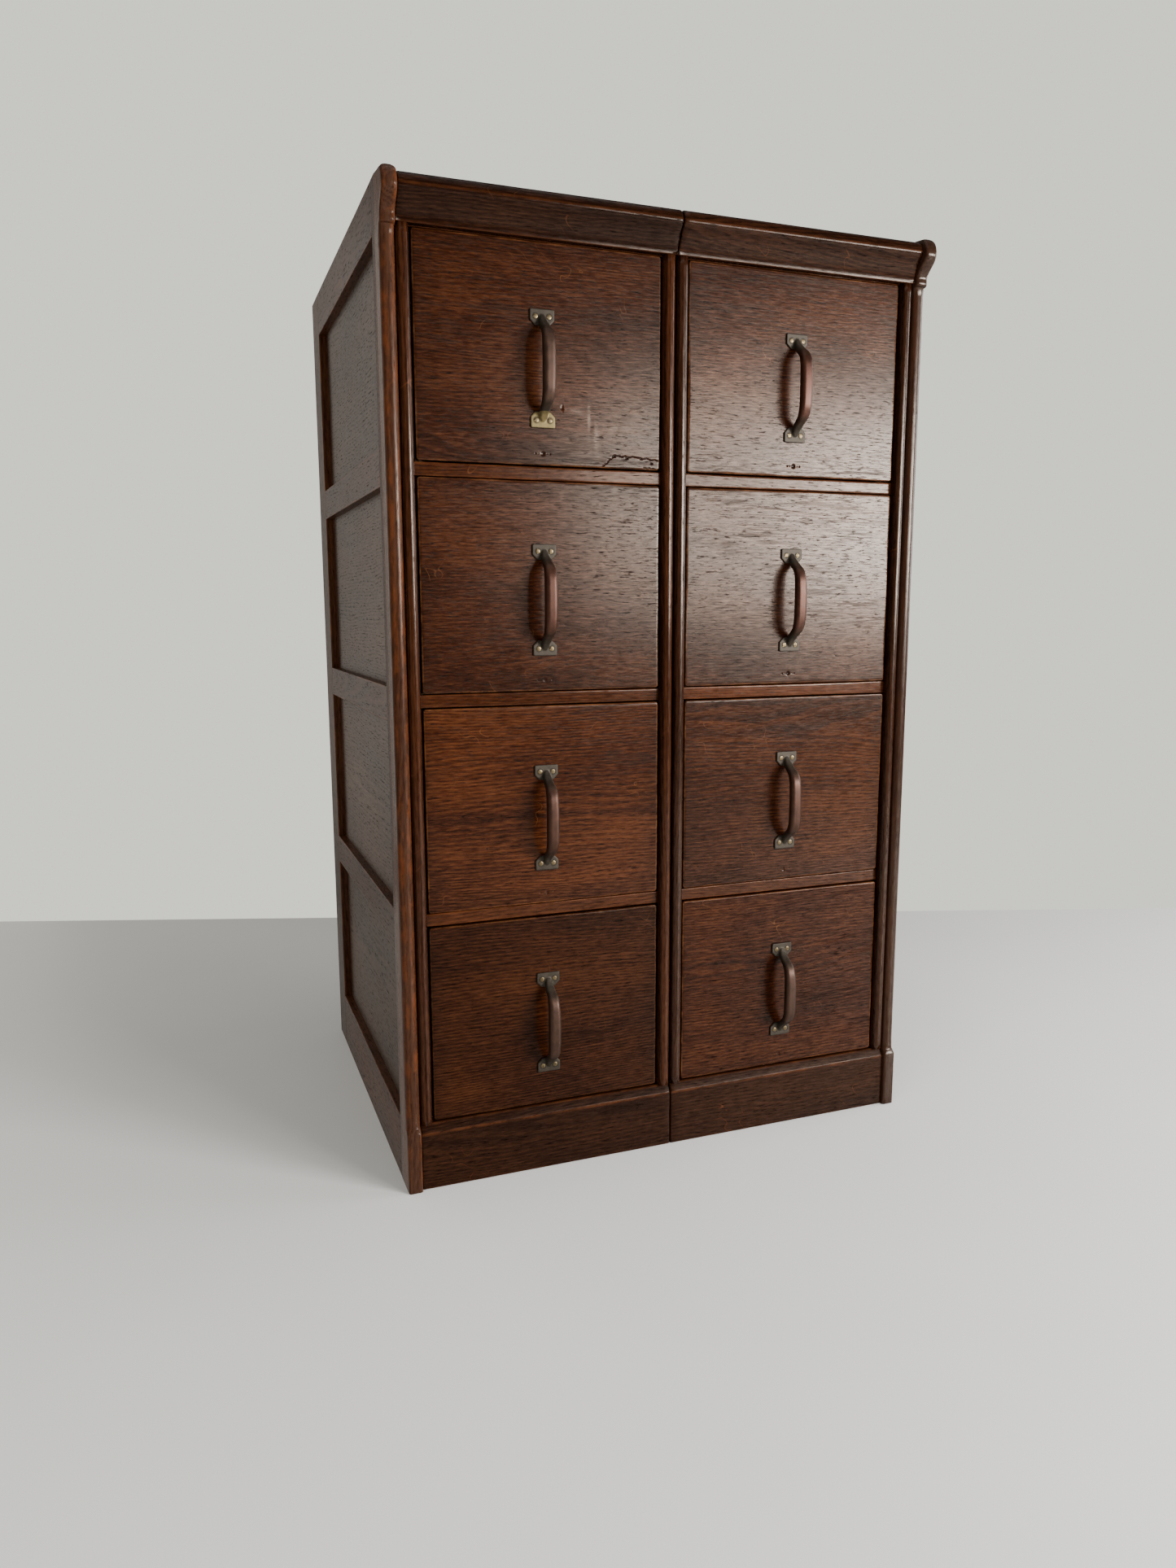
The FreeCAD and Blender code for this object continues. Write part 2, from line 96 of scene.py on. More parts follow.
def new_material(name):
    """A material, its tree of nodes, and the tree's Principled shader."""
    material = bpy.data.materials.new(name)
    material.use_nodes = True
    tree = material.node_tree
    return material, tree, tree.nodes["Principled BSDF"]


def floor():
    """A pale painted board, faintly uneven, that ends where a room's wall would stand."""
    turn = math.radians(19.03)
    to_wall = 0.970
    reach = 5.0
    ahead = np.array([math.sin(turn), math.cos(turn), 0])
    aside = np.array([math.cos(turn), -math.sin(turn), 0])
    corners = [aside * across + ahead * along for across, along in (
        (-reach, -reach), (reach, -reach), (reach, to_wall), (-reach, to_wall))]
    mesh = bpy.data.meshes.new("floor")
    mesh.from_pydata([corner.tolist() for corner in corners], [], [(0, 1, 2, 3)])
    slab = bpy.data.objects.new("floor", mesh)
    bpy.context.collection.objects.link(slab)
    material, tree, surface = new_material("pale_floor")
    place = add(tree, "ShaderNodeTexCoord").outputs["Object"]
    cloud = noise(tree, place, 1.7, 5.0)
    tone = blend(tree, cloud, (0.62, 0.62, 0.60, 1), (0.70, 0.70, 0.68, 1))
    fill(tree, surface, {"Base Color": tone, "Roughness": 0.45})
    mesh.materials.append(material)


def lamp(name, place, target, width, height, power, colour, mirrored=True):
    """A soft rectangular lamp that faces its target; only a mirrored one is seen in gloss."""
    light = bpy.data.lights.new(name, "AREA")
    light.shape = "RECTANGLE"
    light.size = width
    light.size_y = height
    light.energy = power
    light.color = colour
    thing = bpy.data.objects.new(name, light)
    thing.location = place
    aim = np.array(target) - np.array(place)
    flat = math.hypot(aim[0], aim[1])
    thing.rotation_euler = (math.atan2(flat, -aim[2]), 0, math.atan2(-aim[0], aim[1]))
    thing.visible_camera = False
    thing.visible_glossy = mirrored
    bpy.context.collection.objects.link(thing)


floor()
lamp("window_far", (2.42, -3.0, 1.20), (0.2, -0.3, 0.8), 1.0, 0.80, 250, (1.0, 0.985, 0.965))
lamp("window_near", (1.33, -3.0, 1.22), (0.0, -0.3, 0.8), 0.80, 0.80, 75, (1.0, 0.985, 0.965))
lamp("side_window", (2.7, -0.6, 1.35), (0, -0.4, 0.4), 1.6, 1.3, 60, (1.0, 0.99, 0.97))
lamp("left_wall", (-1.9, 1.6, 1.0), (-0.4, 0, 0.7), 2.4, 2.2, 16, (1.0, 0.94, 0.85))
lamp("room_left", (-2.3, -2.3, 1.1), (-0.2, -0.3, 0.7), 1.6, 1.6, 55, (1.0, 0.97, 0.92),
     mirrored=False)
lamp("ceiling", (-0.6, -1.2, 3.4), (-0.6, -1.1, 0), 3.0, 3.0, 30, (0.99, 1.0, 1.0))

world = bpy.data.worlds.new("pale_air")
bpy.context.scene.world = world
world.use_nodes = True
air = world.node_tree
wall_colour = add(air, "ShaderNodeBackground", {"Color": (1.0, 1.0, 0.9, 1), "Strength": 1.05})
room_light = add(air, "ShaderNodeBackground", {"Color": (1.0, 0.99, 0.94, 1), "Strength": 0.22})
seen = add(air, "ShaderNodeLightPath").outputs["Is Camera Ray"]
both = add(air, "ShaderNodeMixShader", {
    0: seen, 1: room_light, 2: wall_colour})
fill(air, air.nodes["World Output"], {0: both})


# ---- End frames ----------------------------------------------------------------------
# Each end is an oak frame: a front stile shaped with a foot and an ear, a plain rear
# stile, and five rails butted between them. The arrises are rubbed by years of hands.

MM = 0.001
SIDES = ("left", "right")
END_OAK = {"dark": (0.0080, 0.0028, 0.0013), "mid": (0.034, 0.0115, 0.0046),
           "light": (0.074, 0.0255, 0.0100), "worn": (0.15, 0.048, 0.015)}
EDGE_OAK = {"dark": (0.024, 0.0090, 0.0045), "mid": (0.072, 0.0300, 0.0165),
            "light": (0.125, 0.0560, 0.0310), "worn": (0.26, 0.066, 0.016)}


def toned(colours, tone):
    """The same stain, thinner or stronger."""
    return {key: tuple(part * tone for part in colour) for key, colour in colours.items()}


def oak(name, dark, mid, light, worn, gloss=0.42, wear=0.004, rubbing=0.6, figure=1.0,
        shine=0.20, crazing=0.10, tint=(1.0, 0.86, 0.74)):
    """Stained oak with open pores. It reads each board's own values: grain, its place in the
    tree; arris, the way to its nearest edge; and a third value, dark marks and painted shade in
    the gaps above 0, pale scuffs below."""
    material, tree, surface = new_material(name)

    def node(kind, inputs=None, **settings):
        return add(tree, kind, inputs, **settings)

    def value(name):
        return node("ShaderNodeAttribute", attribute_name=name).outputs

    def maths(operation, first, second=0.5, third=0.5, clamp=False):
        return node("ShaderNodeMath", {0: first, 1: second, 2: third},
                    operation=operation, use_clamp=clamp)

    def times(first, second, plus=0.0, clamp=False):
        return maths("MULTIPLY_ADD", first, second, plus, clamp)

    def drawn(stretch, detail, roughness=0.55, place=None):
        scaled = node("ShaderNodeVectorMath", {0: place or grain, 1: stretch},
                      operation="MULTIPLY")
        return noise(tree, scaled, 1.0, detail, roughness)

    def lines(field, thinness):
        off = maths("ABSOLUTE", maths("SUBTRACT", field, 0.5))
        return maths("SUBTRACT", 1.0, times(off, thinness), clamp=True)

    def ramp(factor, stops):
        made = node("ShaderNodeValToRGB", {0: factor})
        points = made.color_ramp.elements
        while len(points) < len(stops):
            points.new(0.5)
        for point, (place, colour) in zip(points, stops):
            point.position = place
            point.color = (*colour, 1) if isinstance(colour, tuple) else (colour,) * 3 + (1,)
        return made

    grain = value("grain")["Vector"]
    arris = value("arris")["Fac"]
    scar = value("scar")["Fac"]

    # The tree's growth rings, and what lies along its grain.
    across = node("ShaderNodeVectorMath", {0: grain, 1: (0, 1, 1)}, operation="MULTIPLY")
    radius = node("ShaderNodeVectorMath", {0: across}, operation="LENGTH")
    radius = radius.outputs["Value"]
    bent = times(drawn((1.5, 8, 8), 2.0), 0.055, radius)
    bent = times(drawn((14, 70, 70), 3.0), 0.0050, bent)
    ring = maths("FRACT", maths("DIVIDE", bent, 0.0046))
    late = ramp(ring, ((0.0, 0.0), (0.30, 0.15), (0.62, 0.85), (0.90, 1.0), (1.0, 0.0)))
    late = times(late, figure)
    fibre = drawn((58, 520, 520), 2.0, 0.75)
    streak = drawn((2.2, 95, 95), 4.0, 0.62)
    cloud = drawn((2.1, 6.5, 6.5), 4.0, 0.6)
    patch = drawn((7, 17, 17), 3.0, 0.55)
    checks = lines(drawn((7.0, 120, 120), 2.0, 0.5), 20.0)
    crazed = ramp(drawn((5, 14, 14), 3.0, 0.6), ((0.46, 0.0), (0.62, crazing)))
    checks = times(checks, crazed)
    pore = maths("SUBTRACT", drawn((75, 560, 560), 2.0, 0.6), 0.55)
    pore = times(pore, 9.0, clamp=True)
    pore = times(pore, maths("SUBTRACT", 1.0, times(late, 0.9)), clamp=True)
    open_grain = maths("MAXIMUM", pore, checks)

    # The stain: darker in open grain, and near the arrises where polish has gathered.
    tone = times(late, 0.20, times(fibre, 0.90))
    tone = times(streak, 0.26, tone)
    tone = times(cloud, 0.80, tone)
    tone = times(patch, 0.28, tone)
    tone = maths("SUBTRACT", tone, 0.70)
    colour = ramp(tone, ((0.14, dark), (0.46, mid), (0.86, light)))
    deep = [part * 0.35 for part in dark]
    colour = blend(tree, times(open_grain, 0.86), colour, (*deep, 1))
    grime = node("ShaderNodeMapRange", {0: arris, 1: 0.003, 2: 0.030, 3: 0.30, 4: 0.0})
    grime = times(grime, maths("ADD", patch, 0.3))
    colour = blend(tree, grime, colour, (*dark, 1))

    # Wear: rubbed arrises, scratches, pale scuffs, and small holes of beetle and nail; and painted
    #     shade on faces that lie deep in the gaps.
    worms = node("ShaderNodeTexVoronoi", {"Vector": grain, "Scale": 17.0}).outputs["Distance"]
    worms = times(maths("SUBTRACT", 0.021, worms), 260.0, clamp=True)
    rub = node("ShaderNodeMapRange", {0: arris, 1: 0.0, 2: wear, 3: 1.0, 4: 0.0},
               interpolation_type="SMOOTHSTEP")
    spots = ramp(drawn((26, 60, 60), 6.0, 0.75), ((0.45, 0.0), (0.62, 1.0)))
    rub = times(rub, times(spots, rubbing, 0.10))
    colour = blend(tree, rub, colour, (*worn, 1))
    askew = grain
    for angle, about in ((1.1, "X_AXIS"), (0.9, "Z_AXIS")):
        askew = node("ShaderNodeVectorRotate", {"Vector": askew, "Angle": angle},
                     rotation_type=about)
    scratch = lines(drawn((2.5, 34, 34), 1.0, place=askew), 160.0)
    scratch = times(scratch, ramp(drawn((13, 13, 13), 2.0), ((0.60, 0.0), (0.68, 0.5))))
    colour = blend(tree, scratch, colour, (*worn, 1))
    pale = times(times(scar, -0.55, clamp=True),
                 ramp(drawn((70, 420, 420), 5.0, 0.75), ((0.40, 0.0), (0.62, 1.0))))
    colour = blend(tree, pale, colour, (0.20, 0.145, 0.115, 1))
    # Near-black: beetle holes, nail holes, cracks and the darker polish on the ends' front edges, and
    # also painted shade where the third value marks faces deep in the gaps.
    hole_and_shade = maths("MAXIMUM", maths("ADD", scar, 0.0, clamp=True), worms)
    colour = blend(tree, hole_and_shade, colour, (0.004, 0.002, 0.0015, 1))

    # The polish: duller in open grain, and a little uneven from fibre to fibre.
    rough = times(fibre, 0.08, gloss - 0.04)
    rough = times(open_grain, 0.25, rough)
    rough = times(patch, 0.07, maths("SUBTRACT", rough, 0.035), clamp=True)
    gleam = times(fibre, 1.8 * shine, 0.1 * shine)
    gleam = times(gleam, times(open_grain, -0.7, 1.0), clamp=True)
    relief = times(pore, -1.0, times(fibre, 0.45))
    relief = times(late, 0.2, relief)
    relief = times(hole_and_shade, -2.0, relief)
    bump = node("ShaderNodeBump", {"Strength": 0.30, "Distance": 0.00005, "Height": relief})
    fill(tree, surface, {
        "Base Color": colour, "Roughness": rough, "Normal": bump,
        "Specular IOR Level": gleam, "Specular Tint": (*tint, 1)})
    return material


def wobble(points, seed, size):
    """A smooth value from about -1 to 1 at each point, that wanders over about that size."""
    random = np.random.default_rng(seed)
    total = np.zeros(len(points))
    for _ in range(6):
        total += np.sin(points @ (random.normal(size=3) / size) + random.uniform(0, 2 * math.pi))
    return total / 3.2


def in_tree(points, along, seed, size):
    """Where a board's points lay in the tree: along it, and two ways out from its heart."""
    random = np.random.default_rng(seed)
    others = sorted((axis for axis in range(3) if axis != along), key=lambda axis: -size[axis])
    length = points[:, along]
    wide = points[:, others[0]] - size[others[0]] * random.uniform(-0.4, 1.4)
    deep = points[:, others[1]] + random.uniform(0.02, 0.07) + random.uniform(-0.05, 0.05) * length
    return np.column_stack([length + random.uniform(0, 40), wide, deep])


def ruled(length, radius, step, extra):
    """Places of the lines across a board's side: close by its arrises, even between."""
    close = [0, 0.3 * radius, radius, 2.4 * radius]
    if length < 5.5 * radius:
        close = close[:3]
    spaces = max(1, round(length / step))
    inside = np.arange(1, spaces) * length / spaces
    inside = inside[(inside > close[-1] + radius) & (inside < length - close[-1] - radius)]
    lines = np.concatenate([close, inside, length - np.array(close), np.array(extra, float)])
    return np.unique(np.round(lines[(lines >= 0) & (lines <= length)], 6))


def board(low, high, along, radius=0.0012, step=0.02, seed=0, extra=((), (), ()), wander=0.45,
          corner=0.0, marks=None):
    """A board with eased arrises: points, faces and the values that its finish reads.
    A corner rounds its face; marks sinks holes into it, says where they are, and on a front also
    paints shade on its sides."""
    low, high = np.array(low), np.array(high)
    size = high - low
    lines = [ruled(size[axis], radius, step, extra[axis]) for axis in range(3)]
    keys, quads = [], []
    for axis in range(3):
        second, third = (axis + 1) % 3, (axis + 2) % 3
        rows, columns = len(lines[second]), len(lines[third])
        for side in (0, len(lines[axis]) - 1):
            grid = np.zeros((rows, columns, 3), int)
            grid[..., axis] = side
            grid[..., second] = np.arange(rows)[:, None]
            grid[..., third] = np.arange(columns)[None, :]
            first = sum(len(key) for key in keys)
            keys.append(grid.reshape(-1, 3))
            number = first + np.arange(rows * columns).reshape(rows, columns)
            around = [number[:-1, :-1], number[1:, :-1], number[1:, 1:], number[:-1, 1:]]
            if side == 0:
                around.reverse()
            quads.append(np.stack(around, -1).reshape(-1, 4))
    unique, inverse = np.unique(np.vstack(keys), axis=0, return_inverse=True)
    faces = inverse.reshape(-1)[np.vstack(quads)]
    points = np.column_stack([lines[axis][unique[:, axis]] for axis in range(3)])
    local = radius * (1 + wander * wobble(points + low, seed + 1, 0.03))[:, None]
    local = np.clip(local, 0.25 * radius, 0.48 * size.min())
    kept = np.clip(points, local, size - local)
    push = points - kept
    reach = np.linalg.norm(push, axis=1, keepdims=True)
    gaps = np.sort(np.minimum(points, size - points), axis=1)
    points = kept + push / np.maximum(reach, 1e-9) * local
    if corner:
        flat = points[:, [0, 2]]
        out = flat - np.clip(flat, corner, size[[0, 2]] - corner)
        long = np.maximum(np.linalg.norm(out, axis=1), 1e-9)
        points[:, [0, 2]] = flat - out * (1 - np.abs(out).max(1) / long)[:, None]
    scars_and_shade = np.zeros(len(points))
    if marks:
        points, scars_and_shade = marks(points, size)
    return {"points": points + low, "faces": faces.tolist(), "arris": gaps[:, 1],
            "grain": in_tree(points, along, seed, size), "scar": scars_and_shade}


def piece(name, parts, material, body, slot, *nodes):
    """One object of parts that carry the finish's values, in place of the CAD nodes."""
    points = np.vstack([part["points"] for part in parts])
    faces = []
    first = 0
    for part in parts:
        faces.extend([[first + corner for corner in face] for face in part["faces"]])
        first += len(part["points"])
    mesh = bpy.data.meshes.new(name)
    mesh.from_pydata(points.tolist(), [], faces)
    for key, kind in (("arris", "FLOAT"), ("scar", "FLOAT"), ("grain", "FLOAT_VECTOR")):
        values = np.concatenate([part[key] for part in parts])
        field = "vector" if kind == "FLOAT_VECTOR" else "value"
        mesh.attributes.new(key, kind, "POINT").data.foreach_set(field, values.ravel())
    mesh.polygons.foreach_set("use_smooth", [True] * len(mesh.polygons))
    mesh.materials.append(material)
    mesh.update()
    thing = bpy.data.objects.new(name, mesh)
    bpy.context.collection.objects.link(thing)
    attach(thing, body)
    if nodes:
        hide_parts(*nodes)
    return thing


def rounded(corners, step=0.0):
    """An outline through corners (across, up, radius), its corners turned into arcs, with
    points no further apart than the step."""
    points = []
    count = len(corners)
    for index, (across, up, radius) in enumerate(corners):
        here = np.array([across, up], float)
        before = np.array(corners[index - 1][:2], float) - here
        after = np.array(corners[(index + 1) % count][:2], float) - here
        before /= np.linalg.norm(before)
        after /= np.linalg.norm(after)
        half = math.acos(np.clip(before @ after, -1, 1)) / 2
        if radius <= 0 or half > 1.55:
            points.append(here)
            continue
        inward = (before + after) / np.linalg.norm(before + after)
        middle = here + inward * radius / math.sin(half)
        start = here + before * radius / math.tan(half) - middle
        end = here + after * radius / math.tan(half) - middle
        for share in np.linspace(0, 1, 7):
            arm = start * (1 - share) + end * share
            points.append(middle + arm / np.linalg.norm(arm) * radius)
    if step:
        filled = []
        for index, point in enumerate(points):
            gap = points[(index + 1) % len(points)] - point
            pieces = max(1, math.ceil(np.linalg.norm(gap) / step))
            filled.extend(point + gap * part / pieces for part in range(pieces))
        points = filled
    return np.array(points)


end_low, end_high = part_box("left_end_frame")
end_height = end_high[2]
foot_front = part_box("left_plinth")[0][1] - 5 * MM
FRONT_STILE = 52.5 * MM
REAR_STILE = 71.7 * MM
TOP_RAIL = 64.5 * MM
MID_RAIL = 47 * MM
LOW_RAIL = 92 * MM
EAR_HEIGHT = 63 * MM
NOSE_RADIUS = 24 * MM
STRIP_SETBACK = 4.5 * MM
FOOT_TOP = 83 * MM
FOOT_SLOPE = 10 * MM
panel_height = (end_height - TOP_RAIL - LOW_RAIL - 3 * MID_RAIL) / 4


def front_stile(low_x, high_x, seed):
    """Foot, rounded edge and ear in one board, built of level rings from floor to top."""
    edge = STRIP_SETBACK
    ear = end_height - EAR_HEIGHT
    nose = end_low[1] - foot_front
    # The front as seen from the side: heights, and how far back of the foot's face they lie.
    line = [(0, 1.5 * MM), (0.5 * MM, 0.4 * MM), (1.5 * MM, 0)]
    line += [(height, 0) for height in np.arange(16 * MM, FOOT_TOP + 1 * MM, 16 * MM)]
    line += [(FOOT_TOP + FOOT_SLOPE * share, edge * share ** 1.6) for share in np.linspace(0, 1, 7)]
    line += [(height, edge) for height in np.arange(108 * MM, ear - 6 * MM, 16 * MM)]
    line += [(ear + up * MM, edge - out * MM) for up, out in (
        (-0.6, 0), (0, 0.5), (0.3, 3.9), (1.2, 5.1), (3, 5.7), (6, 5.9), (9, 5.3), (11, 5.5))]
    line += [(ear + 11 * MM + 28 * MM * share,
              -1.0 * MM + (nose + 1.0 * MM) * (0.5 - 0.5 * math.cos(math.pi * share)) ** 0.9)
             for share in np.linspace(0, 1, 9)[1:-1]]
    line += [(end_height - NOSE_RADIUS * (1 - math.sin(angle)), nose + 19 * MM * (1 - math.cos(angle)))
             for angle in np.radians(np.linspace(0, 90, 10))]
    quarter = np.radians((0, 22.5, 45, 67.5, 90))
    worn = [2.5 * MM, 1 * MM, 0.2 * MM, 1 * MM, 2.5 * MM]
    darkened = [0, 0, 0.1, 0.5] + [0.62] * 4
    rings = []
    arris = []
    for height, front in line:
        strip = (np.clip((height - 86 * MM) / (9 * MM), 0, 1)
                 * np.clip((ear + 2 * MM - height) / (4 * MM), 0, 1))
        ease = 3.4 * MM + 5.0 * MM * strip + 1.4 * MM * (height > ear)
        over = max(0.0, height - (end_height - 8 * MM)) / (8 * MM)
        inset = 7 * MM * (1 - math.sqrt(max(0.0, 1 - over ** 2)))
        middle = (low_x + high_x) / 2
        side = [(0, FRONT_STILE), (0, front + 0.6 * (FRONT_STILE - front)),
                (0.5 * inset, front + ease + 7 * MM)]
        side += [(inset + ease * (1 - math.cos(angle)), front + ease * (1 - math.sin(angle)))
                 for angle in quarter]
        ring = [(low_x + x, y) for x, y in side] + [(middle, front)]
        ring += [(high_x - x, y) for x, y in reversed(side)]
        rings.append([(x, foot_front + y, height) for x, y in ring])
        near = [0.02, 0.02, ease + 5 * MM] + worn
        arris.append(near + [4 * MM] + near[::-1])
    count = len(rings[0])
    points = np.array(rings).reshape(-1, 3)
    faces = [[level * count + index, level * count + (index + 1) % count,
              (level + 1) * count + (index + 1) % count, (level + 1) * count + index]
             for level in range(len(rings) - 1) for index in range(count)]
    faces.append(list(range(count))[::-1])
    faces.append([(len(rings) - 1) * count + index for index in range(count)])
    size = np.array([high_x - low_x, FRONT_STILE, end_height])
    # Painted shade: the inner face goes darker from 11 to 17 mm behind the foot's face, deep in the
    # gap beside the unit's stile.
    inner = np.abs(points[:, 0] - (high_x if high_x < 0 else low_x)) < 1 * MM
    painted_gap_shade = inner * np.interp(points[:, 1] - foot_front, (11 * MM, 17 * MM), (0, 0.9))
    polish = np.tile(darkened + [0.62] + darkened[::-1], len(rings))
    return {"points": points, "faces": faces, "arris": np.array(arris).ravel(),
            "scar": np.maximum(painted_gap_shade, polish),
            "grain": in_tree(points - (low_x, foot_front, 0), 2, seed, size)}


end_finish = oak("end_oak", gloss=0.40, shine=0.19, rubbing=0.35, tint=(1.0, 0.92, 0.82), **END_OAK)
edge_finish = {
    "left": oak("left_front_stile_oak", gloss=0.24, shine=0.09, rubbing=0.55, **EDGE_OAK),
    "right": oak("right_front_stile_oak", gloss=0.22, shine=0.17, rubbing=0.15,
                 **toned(EDGE_OAK, 0.5))}
for side in SIDES:
    low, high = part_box(f"{side}_end_frame")
    seed = 100 + SIDES.index(side) * 20
    front = foot_front + FRONT_STILE
    rear = high[1] - REAR_STILE
    upright = front_stile(low[0], high[0], seed)
    piece(f"front_stile_{side}", [upright], edge_finish[side], "case", "end_oak")
    members = [board((low[0], rear, 0), high, 2, seed=seed + 1)]
    rails = [(0, LOW_RAIL), (end_height - TOP_RAIL, TOP_RAIL)]
    rails += [(LOW_RAIL + number * (panel_height + MID_RAIL) - MID_RAIL, MID_RAIL)
              for number in (1, 2, 3)]
    for number, (bottom, height) in enumerate(rails):
        members.append(board((low[0], front, bottom), (high[0], rear, bottom + height), 1,
                             radius=0.8 * MM, seed=seed + 2 + number))
    piece(f"end_frame_{side}", members, end_finish, "case", "end_oak", f"{side}_end_frame")


# ---- End panels ----------------------------------------------------------------------
# Four thin oak panels a side, their grain running front to back, let in loose from the
# inside, so that they lie well below the face of the frame.

PANEL_OAK = {"dark": (0.0110, 0.0062, 0.0042), "mid": (0.036, 0.0205, 0.0140),
             "light": (0.078, 0.0460, 0.0310), "worn": (0.12, 0.060, 0.034)}
panel_finish = oak("panel_oak", gloss=0.48, shine=0.30, tint=(1.0, 0.93, 0.84), **PANEL_OAK)
for side in SIDES:
    low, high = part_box(f"{side}_end_panels")
    fields = []
    for number in range(4):
        bottom = LOW_RAIL + number * (panel_height + MID_RAIL)
        fields.append(board(
            (low[0], low[1] + 6 * MM, bottom - 1 * MM),
            (high[0], high[1] - 6 * MM, bottom + panel_height + 1 * MM),
            1, radius=0.6 * MM, seed=160 + number + 10 * SIDES.index(side)))
    piece(f"end_panels_{side}", fields, panel_finish, "case", "end_oak", f"{side}_end_panels")


# ---- Mouldings: plinths, stiles and cornices -----------------------------------------
# Solid oak run to a section on a spindle: the base board with its sloped top, the
# rounded uprights beside the drawers, and the cornice with its round nose and hollow.

PLINTH_OAK = {"dark": (0.0040, 0.0010, 0.0004), "mid": (0.0105, 0.0033, 0.0013),
              "light": (0.027, 0.0088, 0.0034), "worn": (0.11, 0.034, 0.011)}
STILE_OAK = {**PLINTH_OAK, "mid": (0.017, 0.0050, 0.0020), "light": (0.046, 0.0145, 0.0060)}
CORNICE_OAK = {**PLINTH_OAK, "mid": (0.0080, 0.0024, 0.0010), "light": (0.024, 0.0074, 0.0028)}
STILE_WIDTH = 18 * MM
RING_SPACING = 12 * MM


def through(knots, count):
    """A smooth path through the knots: a Catmull-Rom curve with even steps between knots."""
    knots = np.array(knots, float)
    padded = np.vstack([2 * knots[0] - knots[1], knots, 2 * knots[-1] - knots[-2]])
    path = []
    for index in range(len(knots) - 1):
        first, second, third, fourth = padded[index:index + 4]
        for share in np.arange(count) / count:
            path.append(0.5 * (2 * second + (third - first) * share
                               + (2 * first - 5 * second + 4 * third - fourth) * share ** 2
                               + (3 * second - first - 3 * third + fourth) * share ** 3))
    path.append(knots[-1])
    return np.array(path)


def new_tree(name, inputs):
    """An empty Geometry Nodes tree, and its inputs: a mesh, and others by name and kind."""
    tree = bpy.data.node_groups.new(name, "GeometryNodeTree")
    face = tree.interface
    for label, kind in {"Geometry": "Geometry", **inputs, "Material": "Material"}.items():
        face.new_socket(label, in_out="INPUT", socket_type=f"NodeSocket{kind}")
    face.new_socket("Geometry", in_out="OUTPUT", socket_type="NodeSocketGeometry")
    return tree, add(tree, "NodeGroupInput").outputs


def finished(tree, given, shape):
    """The tree, ended: the shape made real, and given its material."""
    real = add(tree, "GeometryNodeRealizeInstances", {0: shape})
    coat = add(tree, "GeometryNodeSetMaterial", {
        "Geometry": real, "Material": given["Material"]})
    add(tree, "NodeGroupOutput", {0: coat})
    return tree


def moulding_tree():
    """Geometry Nodes: the outline in the mesh swept from start to end, a little uneven."""
    tree, given = new_tree("run_of_moulding", {
        "Start": "Vector", "End": "Vector", "Spacing": "Float", "Unevenness": "Float"})
    line = add(tree, "GeometryNodeCurvePrimitiveLine", {
        "Start": given["Start"], "End": given["End"]})
    path = add(tree, "GeometryNodeResampleCurve", {
        "Curve": line, "Length": given["Spacing"]}, mode="LENGTH")
    section = add(tree, "GeometryNodeMeshToCurve", {"Mesh": given["Geometry"]})
    sweep = add(tree, "GeometryNodeCurveToMesh", {
        "Curve": path, "Profile Curve": section, "Fill Caps": True})
    place = add(tree, "GeometryNodeInputPosition")
    stray = add(tree, "ShaderNodeTexNoise", {"Vector": place, "Scale": 14.0})
    centred = add(tree, "ShaderNodeVectorMath", {
        0: stray.outputs["Color"], 1: (0.5, 0.5, 0.5)}, operation="SUBTRACT")
    scaled = add(tree, "ShaderNodeVectorMath", {
        0: centred, "Scale": given["Unevenness"]}, operation="SCALE")
    moved = add(tree, "GeometryNodeSetPosition", {
        "Geometry": sweep, "Offset": scaled})
    smooth = add(tree, "GeometryNodeSetShadeSmooth", {"Geometry": moved})
    return finished(tree, given, smooth)


def plain_mesh(holder):
    """The mesh that an object's modifiers make; the object itself goes."""
    view = bpy.context.evaluated_depsgraph_get()
    mesh = bpy.data.meshes.new_from_object(holder.evaluated_get(view))
    holder.modifiers.clear()
    bpy.data.objects.remove(holder)
    return mesh


def grown(name, base_mesh, tree, settings):
    """The plain mesh that a node tree makes of a base mesh, with its inputs set by name."""
    holder = bpy.data.objects.new(name, base_mesh)
    bpy.context.collection.objects.link(holder)
    nodes = holder.modifiers.new("nodes", "NODES")
    nodes.node_group = tree
    for socket in tree.interface.items_tree:
        if socket.in_out == "INPUT" and socket.name in settings:
            nodes[socket.identifier] = settings[socket.name]
    return plain_mesh(holder)


def skin_of(mesh):
    """A mesh's points as an array, and its faces as lists."""
    points = np.zeros(3 * len(mesh.vertices))
    mesh.vertices.foreach_get("co", points)
    return points.reshape(-1, 3), [list(face.vertices) for face in mesh.polygons]


